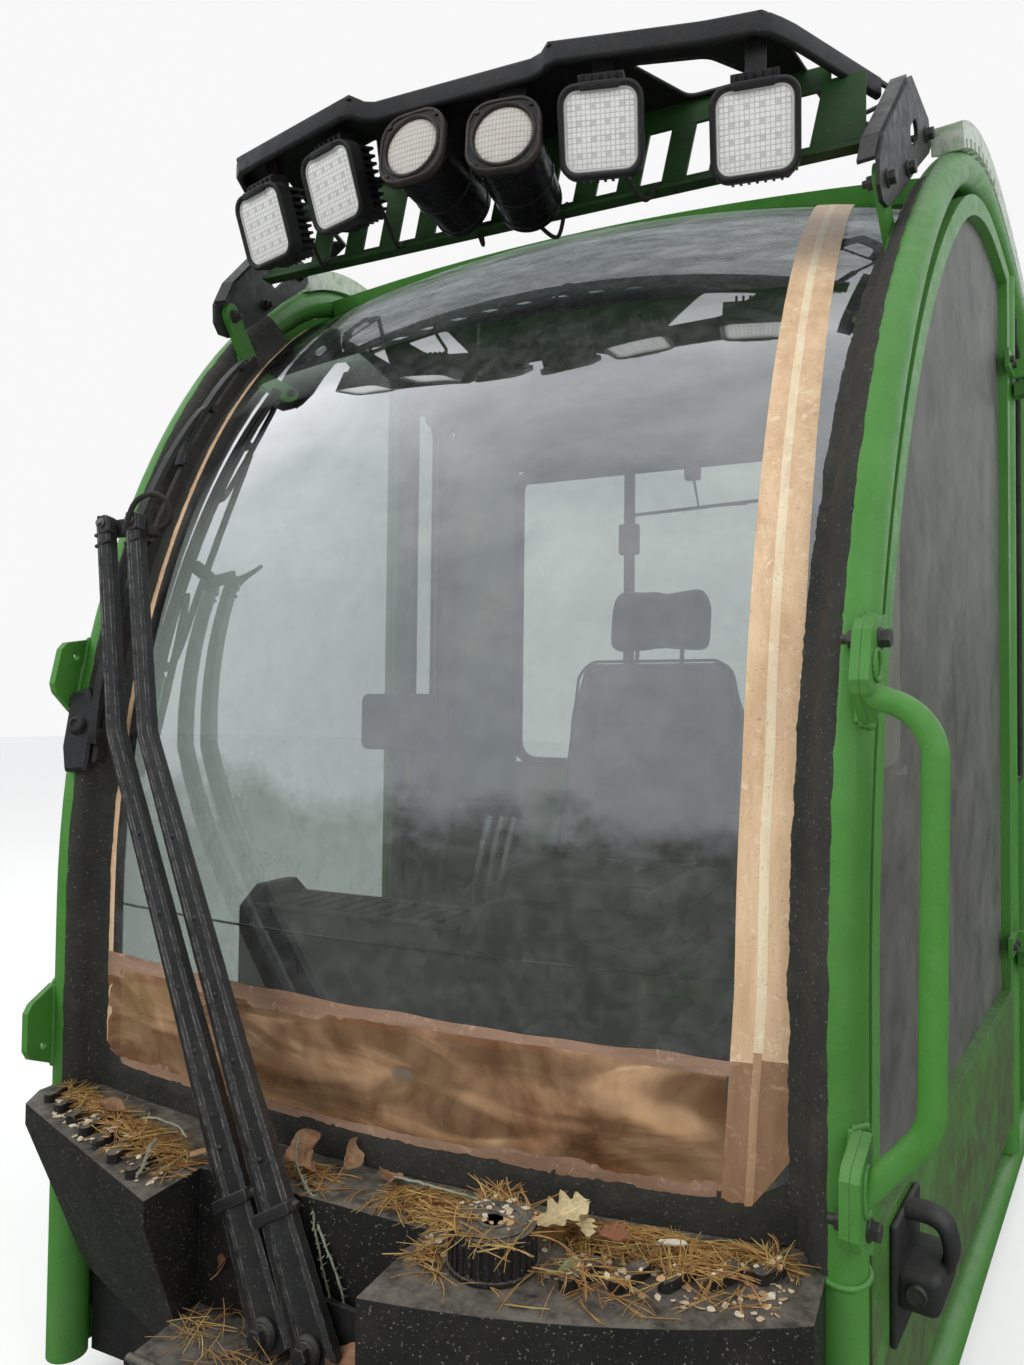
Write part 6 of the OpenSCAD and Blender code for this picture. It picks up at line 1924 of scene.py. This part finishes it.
quarter = frame_outline(1366, 1556, 906, 44)
quarter_rings = []
for out in (6, -12):
    path = [Vector((out, along, up)) for along, up in quarter]
    quarter_rings.append(swept(path + path[:2], 7, 8))
gasket_forms = [placed(form, side_matrix(0, 0, 0, side)) for side in (-1, 1) for form in quarter_rings]
make_piece("quarter_window_gaskets", joined(gasket_forms), rubber, sharp=60)

roof_top = max(v.co.z for v in cab_nodes["roof_shell"].data.vertices)


def on_roof(x, y):
    """Height of the roof's shell above a point, by a ray straight down."""
    hit, spot = cab_nodes["roof_shell"].ray_cast(Vector((x, y, 3)), Vector((0, 0, -1)))[:2]
    return spot.z if hit else roof_top


hatch_rings = []
for grow, lift in ((0, -3), (0, 8), (-5, 11), (-40, 12), (-52, 14), (-70, 15)):
    outline = round_outline(520 + grow, 440 + grow, 50 + grow * 0.3, 7)
    spots = [(x / 1000, 0.36 + y / 1000) for x, y in outline]
    hatch_rings.append([Vector((x, y, on_roof(x, y) + lift / 1000)) for x, y in spots])
if max(p.z for p in hatch_rings[-1]) < cad_box[1][2]:
    make_piece("roof_hatch", lofted(hatch_rings), green_paint, sharp=40)
    seal = [Vector(p) + Vector((0, 0, 0.001)) for p in hatch_rings[0]]
    make_piece("roof_hatch_seal", swept(seal + seal[:2], 0.006, 8), rubber, sharp=60)
print("roof top at", round(roof_top, 3), "box top at", round(cad_box[1][2], 3), "hatch top at",
      round(max(p.z for p in hatch_rings[-1]), 3))

# %% [markdown]
# Seen close, the rack's plate is open at its ends: folded arms with large three-cornered holes
# between them. This plate stands for the plain one. Its outline and holes are cut into triangles
# by Blender's own polygon filler, and the same points a few millimetres lower close the form. Each
# hole has a small turned-down lip, which is what gives the arms their thickness.

# %% Open plate of the rack
def grown(outline, share):
    middle = Vector((sum(p[0] for p in outline), sum(p[1] for p in outline))) / len(outline)
    return [tuple(middle + (Vector(p) - middle) * share) for p in outline]


def rounded_corners(outline, radius):
    points = []
    steps = 4
    for i, corner in enumerate(outline):
        here = Vector(corner)
        before, after = Vector(outline[i - 1]) - here, Vector(outline[(i + 1) % len(outline)]) - here
        cut = min(radius, before.length * 0.3, after.length * 0.3)
        start, end = here + before.normalized() * cut, here + after.normalized() * cut
        for k in range(steps + 1):
            t = k / steps
            points.append(tuple(start * (1 - t) ** 2 + here * 2 * t * (1 - t) + end * t ** 2))
    return points


def slab(outline, holes, low, high):
    loops = [outline] + holes
    flat = [Vector((x, y, 0)) for loop in loops for x, y in loop]
    corners = tessellate_polygon([[Vector((x, y, 0)) for x, y in loop] for loop in loops])
    count = len(flat)
    points = [Vector((p.x, p.y, high)) for p in flat] + [Vector((p.x, p.y, low)) for p in flat]
    faces = [list(c) for c in corners] + [[i + count for i in reversed(c)] for c in corners]
    start = 0
    for loop in loops:
        for k in range(len(loop)):
            a, b = start + k, start + (k + 1) % len(loop)
            faces.append([a, b, b + count, a + count])
        start += len(loop)
    return points, faces


plate_edge = [(x * 0.994, y + 3) for x, y in rack_line]
plate_edge += [(622, -215), (560, -180), (505, -215), (470, -379), (-470, -379), (-505, -215), (-560, -180),
               (-622, -215)]
# The holes of one side, and how much each grows about its middle
arm_holes = [([(476, -430), (578, -290), (512, -262)], 1.50),
             ([(588, -262), (592, -228), (556, -208), (530, -236)], 1.12),
             ([(255, -500), (335, -478), (380, -420), (300, -420)], 1.45)]
holes, lips = [], []
for side in (-1, 1):
    for hole, share in arm_holes:
        cut = rounded_corners(grown([(side * x, y) for x, y in hole], share), 14)
        holes.append(cut)
        rim = [Vector((x, y, 2047)) for x, y in cut]
        lips.append(swept(rim + rim[:2], 3.4, 8))
open_plate = joined([slab(plate_edge, holes, 2046, 2051.6)] + lips)
make_piece("rack_open_plate", moved(open_plate, MM), rack_paint, instead_of=["rack_top"],
           sharp=35)
print("holes in the rack's plate:", len(holes))

# %% Write the sizes and finish
print("triangles added:", sum(triangles_added.values()), "largest:",
      max(triangles_added.items(), key=lambda item: item[1]))
